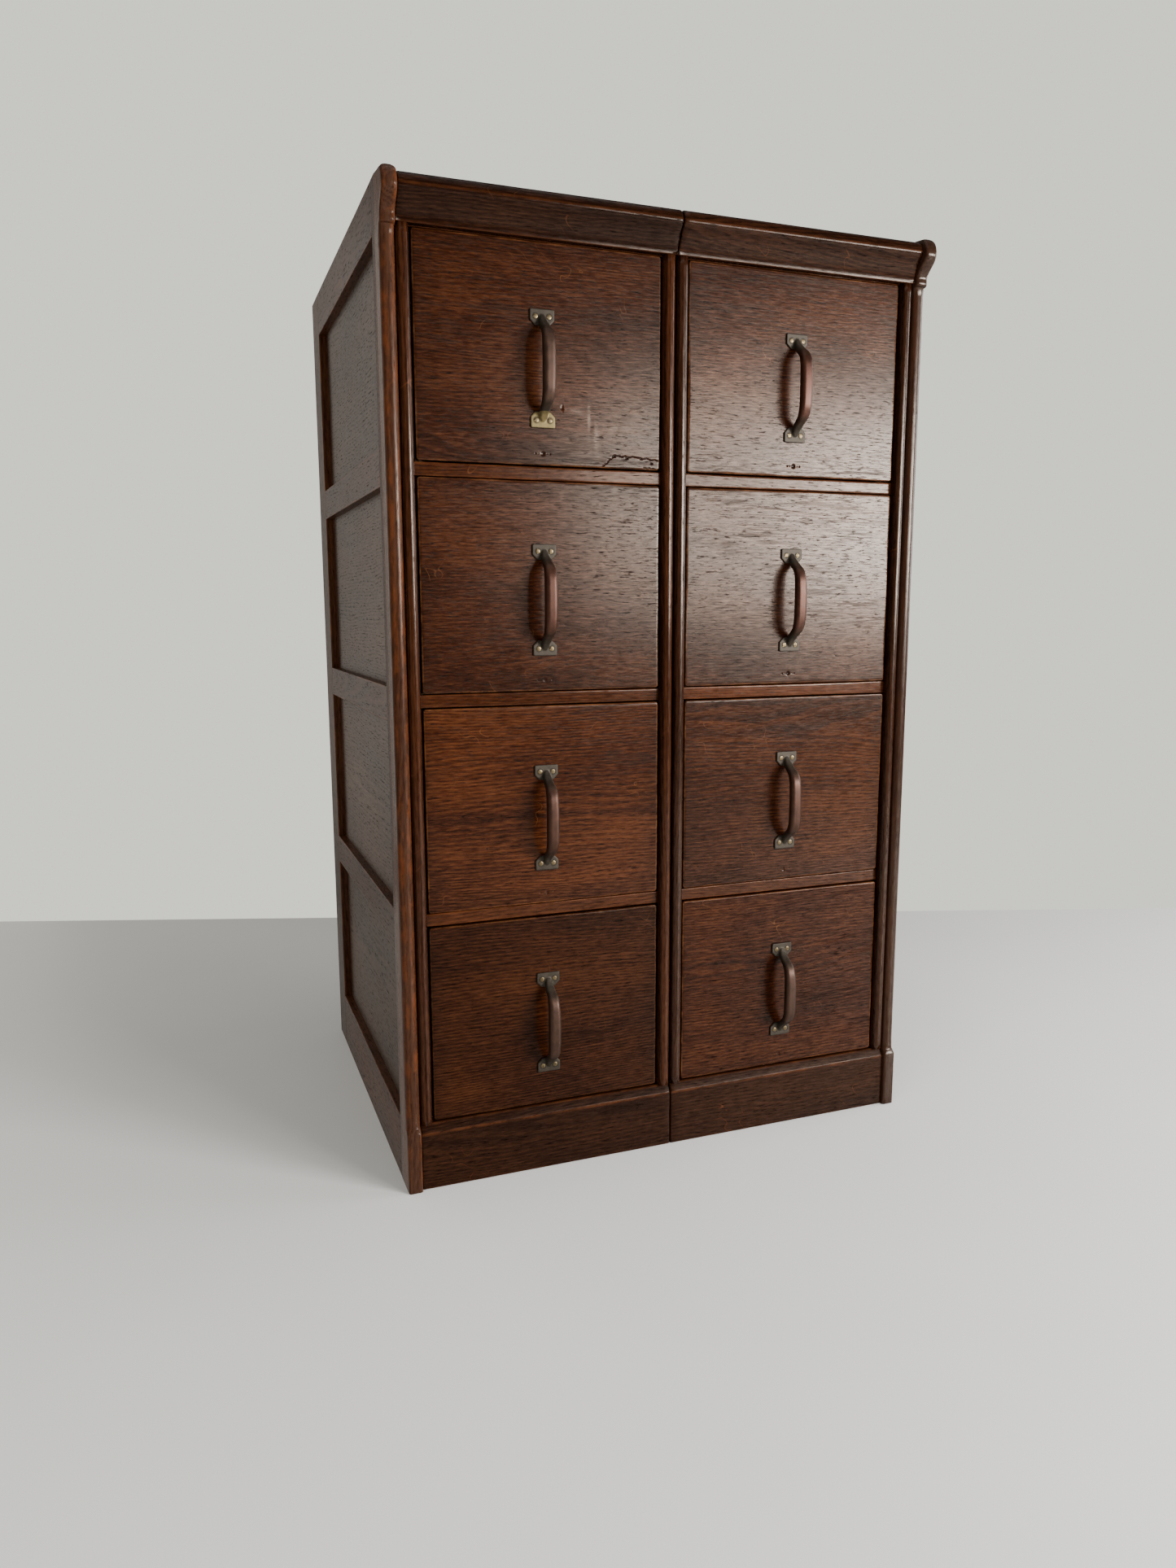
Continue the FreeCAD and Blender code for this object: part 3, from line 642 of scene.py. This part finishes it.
def swept(outline, start, end, material, seed, crests):
    """A run of moulding as a part. Crests are the places of its section that get rubbed."""
    upright = start[2] != end[2]
    flat = outline if upright else -outline
    section = bpy.data.meshes.new("section")
    count = len(flat)
    section.from_pydata([(across, up, 0) for across, up in flat.tolist()],
                        [(index, (index + 1) % count) for index in range(count)], [])
    mesh = grown("run", section, MOULDING, {
        "Start": start, "End": end, "Spacing": RING_SPACING, "Unevenness": 0.5 * MM,
        "Material": material})
    points, faces = skin_of(mesh)
    axis = 2 if upright else 0
    if not upright:
        # The first rings from each end are drawn close to it, and ease its sharp edge.
        to_end = np.minimum(points[:, 0] - start[0], end[0] - points[:, 0])
        moved = np.interp(to_end / MM, (0, 12.2, 24.5, 37), (0, 0.6, 2.2, 9)) * MM
        moved = np.where(to_end < 37 * MM, moved, to_end)
        first_half = points[:, 0] < (start[0] + end[0]) / 2
        points[:, 0] = np.where(first_half, start[0] + moved, end[0] - moved)
        middle = (points[:, 1:].min(0) + points[:, 1:].max(0)) / 2
        inward = middle - points[:, 1:]
        inward[:, 1] *= points[:, 2] > start[2] + 3 * MM
        inward /= np.linalg.norm(inward, axis=1, keepdims=True)
        shrink = np.interp(moved, (0, 0.6 * MM, 2.2 * MM), (1.6 * MM, 0.6 * MM, 0))
        points[:, 1:] += inward * (shrink * (points[:, 1] < start[1] + 22 * MM))[:, None]
    across = slice(0, 2) if upright else slice(1, 3)
    flat_place = points[:, across] - np.array(start[across])
    arris = np.min([np.linalg.norm(flat_place - crest, axis=1) for crest in crests], axis=0)
    size = points.max(0) - points.min(0)
    # Painted shade: an upright stile's flanks go darker from 10 to 13 mm behind its front, deep in the
    # gaps beside it.
    painted_gap_shade = np.interp(points[:, 1] - start[1], (10 * MM, 13 * MM), (0, 0.6)) * upright
    return {"points": points, "faces": faces, "arris": arris, "scar": painted_gap_shade,
            "grain": in_tree(points - points.min(0), axis, seed, size)}


MOULDING = moulding_tree()
plinth_finish = oak("plinth_oak", gloss=0.30, rubbing=0.35, shine=0.08, **PLINTH_OAK)
stile_finishes = {
    "left": oak("left_stile_oak", gloss=0.17, rubbing=0.10, shine=0.12, **STILE_OAK),
    "right": oak("right_stile_oak", gloss=0.19, rubbing=0.10, shine=0.20,
                 **toned(STILE_OAK, 0.62))}
cornice_finish = oak("cornice_oak", gloss=0.17, wear=0.0025, rubbing=0.15, shine=0.085,
                     **CORNICE_OAK)
ease = 0.6 * MM
for side in SIDES:
    seed = 200 + 30 * SIDES.index(side)
    low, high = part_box(f"{side}_plinth")
    depth = high[1] - low[1]
    height = high[2]
    section = rounded([
        (ease, ease, 1.5 * MM), (depth - ease, ease, 0.5 * MM),
        (depth - ease, height - ease, 0.5 * MM), (8 * MM, height - ease, 2.5 * MM),
        (ease, height - 11.5 * MM, 4 * MM)], step=6 * MM)
    crests = np.array([(0, height - 13 * MM), (0, 0), (8 * MM, height)])
    run = swept(section, (low[0] + ease, low[1], 0), (high[0] - ease, low[1], 0),
                plinth_finish, seed, crests)
    piece(f"plinth_{side}", [run], plinth_finish, "case", "case_oak", f"{side}_plinth")

    low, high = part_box(f"{side}_stiles")
    depth = high[1] - low[1]
    section = rounded([
        (ease, ease, 8.0 * MM), (STILE_WIDTH - ease, ease, 8.0 * MM),
        (STILE_WIDTH - ease, depth - ease, 0.5 * MM), (ease, depth - ease, 0.5 * MM)], step=6 * MM)
    crests = np.array([(STILE_WIDTH * 0.3, 1 * MM), (STILE_WIDTH * 0.7, 1 * MM)])
    finish = stile_finishes[side]
    uprights = [swept(section, (x, low[1], low[2]), (x, low[1], high[2]), finish,
                      seed + 1 + number, crests)
                for number, x in enumerate((low[0], high[0] - STILE_WIDTH))]
    piece(f"stiles_{side}", uprights, finish, "case", "case_oak", f"{side}_stiles")

    low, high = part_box(f"{side}_cornice")
    back = high[1] - low[1] - ease
    front = through([(14, 53.6), (8.0, 52.4), (3.8, 49.4), (1.4, 45.4), (0.5, 41.0), (0.6, 37.2),
                     (2.0, 33.8), (4.6, 30.2), (7.8, 25.8), (11.0, 20.8), (13.9, 15.6),
                     (16.3, 10.6), (18.1, 6.0), (19.0, 2.8), (19.4, 0.6)], 3) * MM
    section = np.vstack([front, [(back, ease), (back, high[2] - low[2] - ease)]])
    crests = np.array([(0.4, 39), (19.4, 0.6)]) * MM
    run = swept(section, (low[0] + ease, low[1], low[2]), (high[0] - ease, low[1], low[2]),
                cornice_finish, seed + 5, crests)
    piece(f"cornice_{side}", [run], cornice_finish, "case", "case_oak", f"{side}_cornice")


# ---- Rails of the face frame ---------------------------------------------------------
# Plain oak strips between the stiles, set back a little from the drawer fronts, with one
# more behind the cornice and one behind the plinth.

RAIL_OAK = {**PLINTH_OAK, "mid": (0.026, 0.0066, 0.0018), "light": (0.070, 0.0190, 0.0052)}
RAIL_HEIGHT = 17 * MM
RAIL_DEPTH = 13 * MM
rail_finish = oak("rail_oak", gloss=0.20, rubbing=0.3, shine=0.13, **RAIL_OAK)
for side in SIDES:
    low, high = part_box(f"{side}_rails")
    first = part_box(f"{side}_plinth")[1][2]
    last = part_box(f"{side}_cornice")[0][2]
    opening_height = (last - first - 3 * RAIL_HEIGHT) / 4
    strips = [board((low[0], low[1], last), high, 0, seed=301),
              board((low[0], high[1] - RAIL_DEPTH, low[2]), (high[0], high[1], first), 0, seed=302)]
    for number in (1, 2, 3):
        top = first + number * (opening_height + RAIL_HEIGHT)
        strips.append(board((low[0] + 17 * MM, low[1], top - RAIL_HEIGHT),
                            (high[0] - 17 * MM, high[1], top), 0,
                            seed=303 + number + 5 * SIDES.index(side)))
    piece(f"rails_{side}", strips, rail_finish, "case", "case_oak", f"{side}_rails")


# ---- Tops and backs ------------------------------------------------------------------
# The tops are flat oak boards behind the cornices. The backs are upright boards, three a
# unit, thinner and rougher than the rest because they stood against a wall.

TOP_OAK = {"dark": (0.030, 0.014, 0.009), "mid": (0.085, 0.040, 0.024),
           "light": (0.15, 0.075, 0.045), "worn": (0.30, 0.14, 0.06)}
BACK_OAK = {"dark": (0.045, 0.024, 0.014), "mid": (0.115, 0.064, 0.038),
            "light": (0.20, 0.12, 0.07), "worn": (0.28, 0.17, 0.09)}
top_finish = oak("top_oak", gloss=0.48, **TOP_OAK)
back_finish = oak("back_oak", gloss=0.70, **BACK_OAK)
for side in SIDES:
    low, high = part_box(f"{side}_top_board")
    top = board(low, high, 0, seed=400 + SIDES.index(side))
    piece(f"top_board_{side}", [top], top_finish, "case", "case_oak", f"{side}_top_board")
low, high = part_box("back_boards")
planks = []
plank_width = (high[0] - low[0] - 5 * MM) / 6
for number in range(6):
    x = low[0] + number * (plank_width + 1 * MM)
    planks.append(board((x, low[1], low[2]), (x + plank_width, high[1], high[2]), 2,
                        radius=1.6 * MM, seed=410 + number))
piece("back_boards_all", planks, back_finish, "case", "back_wood", "back_boards")


# ---- Inside the case and the drawer boxes --------------------------------------------
# Unstained boards that never showed: the inner sides, the runners and the bottoms of the
# case, and the sides, back and floor of each drawer.

DRAWERS = (1, 2, 3, 4)


def plain_wood(name, dark, light, stretch):
    """Bare planed wood gone brown with age, its grain along the axis stretched least."""
    material, tree, surface = new_material(name)
    place = add(tree, "ShaderNodeTexCoord").outputs["Object"]
    scaled = add(tree, "ShaderNodeVectorMath", {0: place, 1: stretch}, operation="MULTIPLY")
    streak = noise(tree, scaled, 1.0, 6.0, 0.7)
    stain = noise(tree, place, 9.0, 5.0, 0.65)
    soiled = add(tree, "ShaderNodeMapRange", {0: stain, 1: 0.42, 2: 0.72, 3: 0.0, 4: 0.75})
    fresh = add(tree, "ShaderNodeMapRange", {0: streak, 1: 0.30, 2: 0.70})
    tone = blend(tree, fresh, (*dark, 1), (*light, 1))
    tone = blend(tree, soiled, tone, [part * 0.45 for part in dark] + [1])
    rough = add(tree, "ShaderNodeMapRange", {0: streak, 3: 0.48, 4: 0.75})
    bump = add(tree, "ShaderNodeBump", {"Strength": 0.35, "Distance": 0.0003, "Height": streak})
    fill(tree, surface, {
        "Base Color": tone, "Roughness": rough, "Normal": bump,
        "Specular IOR Level": 0.25})
    return material


def repaint(node, material):
    """A CAD node keeps its mesh and gets a better material."""
    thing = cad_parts[node]
    for place in thing.material_slots:
        place.material = material


inner_finish = plain_wood("inner_pine", (0.14, 0.070, 0.032), (0.30, 0.170, 0.080), (90, 6, 90))
box_finish = plain_wood("box_maple", (0.21, 0.118, 0.056), (0.42, 0.265, 0.140), (110, 7, 110))
for node in ("inner_sides", "bottom_boards", "left_runners", "right_runners"):
    repaint(node, inner_finish)
for side in SIDES:
    for number in DRAWERS:
        for part in ("box", "bottom"):
            repaint(f"{side}_drawer_{number}_{part}", box_finish)


# ---- Drawer fronts -------------------------------------------------------------------
# Each front is one wide flat-sawn oak board with softened arrises. A plugged hole low in
# the middle is where the rod of a paper follower was once fixed, with two nail holes.

FRONT_OAK = {"dark": (0.0044, 0.0012, 0.0006), "mid": (0.033, 0.0078, 0.0023),
             "light": (0.098, 0.0285, 0.0084), "worn": (0.20, 0.075, 0.026)}


def marked(holes, cracks, scuffs):
    """Sinks holes and cracks into a front's face, notes its pale scuffs, and paints shade on its sides
    and back from 3 to 8 mm behind the face. Holes are given by their place across and up, radius
    and depth; cracks by their two ends, width and depth."""
    def marks(points, size):
        points = points.copy()
        flat = points[:, [0, 2]]
        dark = np.zeros(len(points))
        pale = np.zeros(len(points))
        for across, up, wide, deep in holes:
            away = np.linalg.norm(flat - (across, up), axis=1)
            dark = np.maximum(dark, deep * np.exp(-(away / wide) ** 4))
        for start, end, wide, deep in cracks:
            run = np.subtract(end, start)
            share = np.clip((flat - start) @ run / (run @ run), 0, 1)
            bend = 0.8 * MM * np.sin(share * 17) * np.sin(share * math.pi)
            aside = flat - start - share[:, None] * run
            away = np.hypot(aside[:, 0], aside[:, 1] - bend)
            dark = np.maximum(dark, deep * np.exp(-(away / wide) ** 2))
        for across, up, wide, tall in scuffs:
            away = np.hypot((flat[:, 0] - across) / wide, (flat[:, 1] - up) / tall)
            pale = np.maximum(pale, np.exp(-away ** 2))
        face = points[:, 1] < 0.4 * MM
        dark *= face
        pale *= face
        # Painted shade: the front's sides and back go darker from 3 to 8 mm behind its face, where the
        # sides sit in the gaps round the drawer.
        edge = np.interp(points[:, 1], (3 * MM, 8 * MM), (0, 0.6))
        points[:, 1] += 1.6 * MM * dark
        return points, np.where(dark > 0.02, dark, edge - pale)
    return marks


TONES = {"left": (0.53, 0.57, 0.70, 0.39), "right": (0.66, 0.60, 0.54, 0.64)}
FIGURES = {"left": (0.7, 0.5, 0.9, 1.1), "right": (0.6, 0.5, 1.0, 0.8)}
SHINES = (0.16, 0.15, 0.12, 0.09)
PLUGS = {"left": (0.55, 0.12, 0.30, 0.25), "right": (1.0, 0.95, 0.35, 0.45)}
ROD_HEIGHT = 14.5 * MM
# The top left front's own marks, in millimetres from its lower left corner: holes, cracks
# from end to end, and pale drips and scrapes with their half widths and heights.
OPEN_HOLES = ((268.9, 15.5), (287.2, 13.8), (308.5, 14.2), (323.6, 8.6), (195.6, 73.3))
CRACKS = (((270, 18), (251, 1)), ((271, 16.6), (301, 16.2)),
          ((301, 16.2), (335, 12.6)), ((312, 2.2), (329, 1.4)))
SCUFFS = ((243, 42, 3, 17), (275, 52, 18, 3), (233, 62, 2, 20), (214, 70, 9, 2.5))
for side in SIDES:
    for number in DRAWERS:
        name = f"{side}_drawer_{number}"
        low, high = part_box(f"{name}_front")
        stain = toned(FRONT_OAK, TONES[side][number - 1])
        finish = oak(f"{name}_oak", gloss=0.225, wear=0.0030, shine=SHINES[number - 1],
                     crazing=0.55, figure=FIGURES[side][number - 1], **stain)
        middle = (high[0] - low[0]) / 2
        plain = PLUGS[side][number - 1]
        holes = [(middle + aside * MM, ROD_HEIGHT, radius * MM, share * plain)
                 for aside, radius, share in (
                     (0, 2.6, 1), (-10, 0.9, 1), (10, 0.9, 1), (-6, 0.6, 0.5), (6, 0.6, 0.5))]
        cracks = []
        scuffs = []
        fine_x = [middle + np.arange(-13, 13.1, 0.8) * MM]
        fine_z = [np.arange(10, 19.1, 0.8) * MM]
        if name == "left_drawer_1":
            holes += [(x * MM, z * MM, 1.3 * MM, 1.0) for x, z in OPEN_HOLES]
            cracks = [(np.multiply(start, MM), np.multiply(end, MM), 0.5 * MM, 0.9)
                      for start, end in CRACKS]
            scuffs = [np.multiply(scuff, MM) for scuff in SCUFFS]
            fine_x += [np.arange(190, 336, 1.2) * MM]
            fine_z += [np.arange(1.5, 20, 0.7) * MM, np.arange(22, 80, 2.5) * MM]
        front = board(low, high, 0, radius=1.7 * MM, step=8 * MM, corner=3.4 * MM,
                      seed=500 + 20 * number + SIDES.index(side),
                      extra=(np.concatenate(fine_x), (), np.concatenate(fine_z)),
                      marks=marked(holes, cracks, scuffs))
        piece(f"front_{side}_{number}", [front], finish, name, "drawer_front_oak", f"{name}_front")


# ---- Pulls ---------------------------------------------------------------------------
# One bronze casting each: an upright bow between two plates. The plates have gone grey
# and green-brown; the bow is rubbed to a coppery red by hands.

def bow_tree():
    """Geometry Nodes: a rounded bar swept along the bow, drawn in to Neck at its ends."""
    tree, given = new_tree("pull_bow", {
        "Width": "Float", "Thickness": "Float", "Corner": "Float", "Neck": "Float"})
    path = add(tree, "GeometryNodeMeshToCurve", {"Mesh": given["Geometry"]})
    bar = add(tree, "GeometryNodeCurvePrimitiveQuadrilateral", {
        "Width": given["Width"], "Height": given["Thickness"]})
    soft = add(tree, "GeometryNodeFilletCurve", {
        "Curve": bar, "Radius": given["Corner"], "Count": 6}, mode="POLY")
    along = add(tree, "GeometryNodeSplineParameter")
    swell = add(tree, "ShaderNodeFloatCurve", {"Value": along.outputs["Factor"]})
    curve = swell.mapping.curves[0]
    curve.points[0].location = (0.0, 0.0)
    curve.points[1].location = (1.0, 0.0)
    for place, height in ((0.04, 0.35), (0.10, 0.62), (0.17, 0.70), (0.27, 0.92), (0.5, 1.0)):
        curve.points.new(place, height)
        if place < 0.5:
            curve.points.new(1 - place, height)
    swell.mapping.update()
    scale = add(tree, "ShaderNodeMapRange", {
        "Value": swell, "To Min": given["Neck"], "To Max": 1.0})
    sweep = add(tree, "GeometryNodeCurveToMesh", {
        "Curve": path, "Profile Curve": soft, "Scale": scale,
        "Fill Caps": True})
    return finished(tree, given, sweep)


def bronze(name):
    """Old cast bronze under lacquer: grey-brown where it is left alone, red-brown where it
    is rubbed, and bright brass where it was polished (the value called polished)."""
    material, tree, surface = new_material(name)
    place = add(tree, "ShaderNodeTexCoord").outputs["Object"]
    rubbed, polished, dirt = [
        add(tree, "ShaderNodeAttribute", attribute_name=value).outputs["Fac"]
        for value in ("rubbed", "polished", "scar")]
    mottle = noise(tree, place, 90.0, 4.0, 0.6)
    fine = noise(tree, place, 1100.0, 2.0)
    grey = blend(tree, mottle, (0.010, 0.0072, 0.0050, 1), (0.046, 0.0365, 0.0260, 1))
    copper = blend(tree, mottle, (0.012, 0.0038, 0.0020, 1), (0.060, 0.0178, 0.0086, 1))
    brass = blend(tree, mottle, (0.030, 0.0210, 0.0100, 1), (0.30, 0.225, 0.085, 1))
    colour = blend(tree, rubbed, grey, copper)
    colour = blend(tree, polished, colour, brass)
    colour = blend(tree, dirt, colour, (0.006, 0.0045, 0.0035, 1))
    dull = add(tree, "ShaderNodeMapRange", {0: rubbed, 3: 0.42, 4: 0.26})
    rough = add(tree, "ShaderNodeMath", {0: mottle, 1: 0.22, 2: dull},
                operation="MULTIPLY_ADD")
    bump = add(tree, "ShaderNodeBump", {"Strength": 0.15, "Distance": 0.00010, "Height": fine})
    fill(tree, surface, {
        "Base Color": colour, "Roughness": rough, "Normal": bump,
        "Metallic": 0.6, "Specular IOR Level": 0.25})
    return material


BOW = bow_tree()
bronze_finish = bronze("pull_bronze")
pull_low, pull_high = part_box("left_drawer_1_pull")
PULL_HEIGHT = pull_high[2] - pull_low[2]
PULL_STAND = pull_high[1] - pull_low[1]
PLATE_WIDTH = pull_high[0] - pull_low[0]
PLATE_HEIGHT = 21 * MM
PLATE_THICK = 2.5 * MM
PLATE_CUT = 7 * MM
SCREW_APART = 18.4 * MM
SCREW_INSET = 10 * MM
bow_end = PULL_HEIGHT / 2 - PLATE_HEIGHT


def bow():
    """The bow as a mesh: its line from the side, out from the upper plate and back."""
    out = PULL_STAND - 6.4 * MM
    half = [(-1.6 * MM, bow_end + 12 * MM), (-3.4 * MM, bow_end + 7 * MM),
            (-7.4 * MM, bow_end + 1 * MM), (-14.5 * MM, bow_end - 5 * MM),
            (-23 * MM, bow_end - 12 * MM), (-out + 1.9 * MM, bow_end - 22 * MM),
            (-out + 0.4 * MM, bow_end - 36 * MM)]
    path = through(half + [(-out, 0)] + [(y, -z) for y, z in reversed(half)], 6)
    line = bpy.data.meshes.new("bow_line")
    line.from_pydata([(0, y, z) for y, z in path.tolist()],
                     [(index, index + 1) for index in range(len(path) - 1)], [])
    return grown("bow", line, BOW, {
        "Width": 17.4 * MM, "Thickness": 12.4 * MM, "Corner": 5.2 * MM, "Neck": 0.30,
        "Material": bronze_finish})


def casting():
    """The pull's skin, its plates' backs centred on the origin: points and faces. The bow,
    its roots and the plates are laid into each other and skinned over as one casting."""
    points, faces = skin_of(bow())
    points = points.tolist()
    wide = PLATE_WIDTH / 2 - 0.4 * MM
    for way in (1, -1):
        first = len(points)
        root = board((-5.4 * MM, -6.0 * MM, way * (bow_end + 4.5 * MM) - 4.5 * MM),
                     (5.4 * MM, -0.4 * MM, way * (bow_end + 4.5 * MM) + 4.5 * MM), 2,
                     radius=2.6 * MM)
        faces += [[first + corner for corner in face] for face in root["faces"]]
        points += root["points"].tolist()
        outline = rounded([
            (-wide, way * (PULL_HEIGHT / 2 - 0.4 * MM), 2.5 * MM),
            (wide, way * (PULL_HEIGHT / 2 - 0.4 * MM), 2.5 * MM),
            (wide, way * (bow_end + PLATE_CUT), 1.5 * MM),
            (wide - PLATE_CUT, way * bow_end, 1 * MM), (PLATE_CUT - wide, way * bow_end, 1 * MM),
            (-wide, way * (bow_end + PLATE_CUT), 1.5 * MM)]).tolist()
        first = len(points)
        count = len(outline)
        points += [(x, depth, z) for depth in (0.0, -PLATE_THICK) for x, z in outline]
        faces += [list(range(first, first + count)),
                  list(range(first + count, first + 2 * count))[::-1]]
        faces += [[first + index, first + count + index,
                   first + count + (index + 1) % count, first + (index + 1) % count]
                  for index in range(count)]
    mesh = bpy.data.meshes.new("casting")
    mesh.from_pydata(points, [], faces)
    holder = bpy.data.objects.new("casting", mesh)
    bpy.context.collection.objects.link(holder)
    skin = holder.modifiers.new("skin", "REMESH")
    skin.mode = "VOXEL"
    skin.voxel_size = 0.75 * MM
    soft = holder.modifiers.new("soft", "SMOOTH")
    soft.factor = 0.5
    soft.iterations = 7
    return skin_of(plain_mesh(holder))


cast_points, cast_faces = casting()
cast_points[:, 1] = np.minimum(cast_points[:, 1], 0)
aside = np.abs(cast_points[:, 0])
height = np.abs(cast_points[:, 2])
rubbed = np.clip((bow_end + 2 * MM - height) / (16 * MM), 0, 1)
# Dirt lies round the screws and along the rims of the plates.
to_screw = np.hypot(aside - SCREW_APART / 2, height - PULL_HEIGHT / 2 + SCREW_INSET)
to_rim = np.minimum(PLATE_WIDTH / 2 - aside, PULL_HEIGHT / 2 - height)
rim = np.where(height > bow_end, 0.8 * np.exp(-(to_rim / (1.3 * MM)) ** 2), 0)
grime = np.maximum(rim, 0.8 * np.exp(-((to_screw - 3.9 * MM) / (0.7 * MM)) ** 2))
for side in SIDES:
    for number in DRAWERS:
        name = f"{side}_drawer_{number}"
        low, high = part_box(f"{name}_pull")
        centre = np.array([(low[0] + high[0]) / 2, high[1], (low[2] + high[2]) / 2])
        part = {"points": cast_points + centre, "faces": cast_faces, "scar": grime,
                "arris": np.ones(len(cast_points)), "grain": cast_points}
        pull = piece(f"pull_{side}_{number}", [part], bronze_finish, name, "pull_bronze",
                     f"{name}_pull")
        redness = (0.85, 0.80, 0.70, 0.55)[number - 1]
        polished = np.zeros(len(cast_points))
        if name == "left_drawer_1":
            redness *= 0.6
            polished[cast_points[:, 2] < -bow_end - 1 * MM] = 0.6
        for key, values in (("rubbed", rubbed * redness), ("polished", polished)):
            pull.data.attributes.new(key, "FLOAT", "POINT").data.foreach_set("value", values)


# ---- Screws and bolts ----------------------------------------------------------------
# Slotted screws with low domed heads, four to a pull, each stopped at its own angle, and
# the steel bolts that hold the two units together.

def screw_tree():
    """Geometry Nodes: a slotted head on every point, turned by a seeded random angle."""
    tree, given = new_tree("slotted_screws", {
        "Head": "Float", "Dome": "Float", "Slot": "Float", "Seed": "Int"})
    ball = add(tree, "GeometryNodeMeshUVSphere", {
        "Segments": 24, "Rings": 12, "Radius": given["Head"]})
    ratio = add(tree, "ShaderNodeMath", {0: given["Dome"], 1: given["Head"]}, operation="DIVIDE")
    flat = add(tree, "ShaderNodeCombineXYZ", {"X": 1.0, "Y": ratio, "Z": 1.0})
    dome = add(tree, "GeometryNodeTransform", {
        "Geometry": ball, "Scale": flat})
    sizes = add(tree, "ShaderNodeCombineXYZ", {
        "X": given["Head"], "Y": given["Dome"], "Z": given["Slot"]})
    stretch = add(tree, "ShaderNodeVectorMath", {0: sizes, 1: (3.0, 1.0, 1.0)},
                  operation="MULTIPLY")
    bar = add(tree, "GeometryNodeMeshCube", {"Size": stretch})
    ahead = add(tree, "ShaderNodeMath", {0: given["Dome"], 1: -0.8}, operation="MULTIPLY")
    shift = add(tree, "ShaderNodeCombineXYZ", {"Y": ahead})
    slot = add(tree, "GeometryNodeTransform", {
        "Geometry": bar, "Translation": shift})
    head = add(tree, "GeometryNodeMeshBoolean", {
        "Mesh 1": dome, "Mesh 2": slot}, operation="DIFFERENCE")
    spin = add(tree, "FunctionNodeRandomValue", {3: math.pi, "Seed": given["Seed"]})
    angle = add(tree, "ShaderNodeCombineXYZ", {"Y": spin.outputs[1]})
    turn = add(tree, "FunctionNodeEulerToRotation", {0: angle})
    copies = add(tree, "GeometryNodeInstanceOnPoints", {
        "Points": given["Geometry"], "Instance": head.outputs["Mesh"],
        "Rotation": turn})
    return finished(tree, given, copies)


def old_steel(name, colour):
    """Steel gone brown, brighter in spots."""
    material, tree, surface = new_material(name)
    place = add(tree, "ShaderNodeTexCoord").outputs["Object"]
    spots = noise(tree, place, 400.0, 4.0)
    tone = blend(tree, spots, [part * 0.2 for part in colour] + [1], (*colour, 1))
    fill(tree, surface, {"Base Color": tone, "Metallic": 0.85, "Roughness": 0.38})
    return material


SCREWS = screw_tree()
screw_finish = old_steel("screw_steel", (0.135, 0.097, 0.048))
repaint("joining_bolts", old_steel("bolt_steel", (0.40, 0.38, 0.35)))
for side in SIDES:
    for number in DRAWERS:
        name = f"{side}_drawer_{number}"
        low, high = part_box(f"{name}_pull")
        middle = (low[0] + high[0]) / 2
        seat = high[1] - PLATE_THICK
        spots = bpy.data.meshes.new("screw_spots")
        spots.from_pydata([(middle + way * SCREW_APART / 2, seat, z) for way in (-1, 1)
                           for z in (low[2] + SCREW_INSET, high[2] - SCREW_INSET)], [], [])
        heads = grown("heads", spots, SCREWS, {
            "Head": 3.5 * MM, "Dome": 0.7 * MM, "Slot": 0.9 * MM, "Seed": 10 * number + len(side),
            "Material": screw_finish})
        thing = bpy.data.objects.new(f"screws_{side}_{number}", heads)
        bpy.context.collection.objects.link(thing)
        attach(thing, name)
        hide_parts(f"{name}_screws")
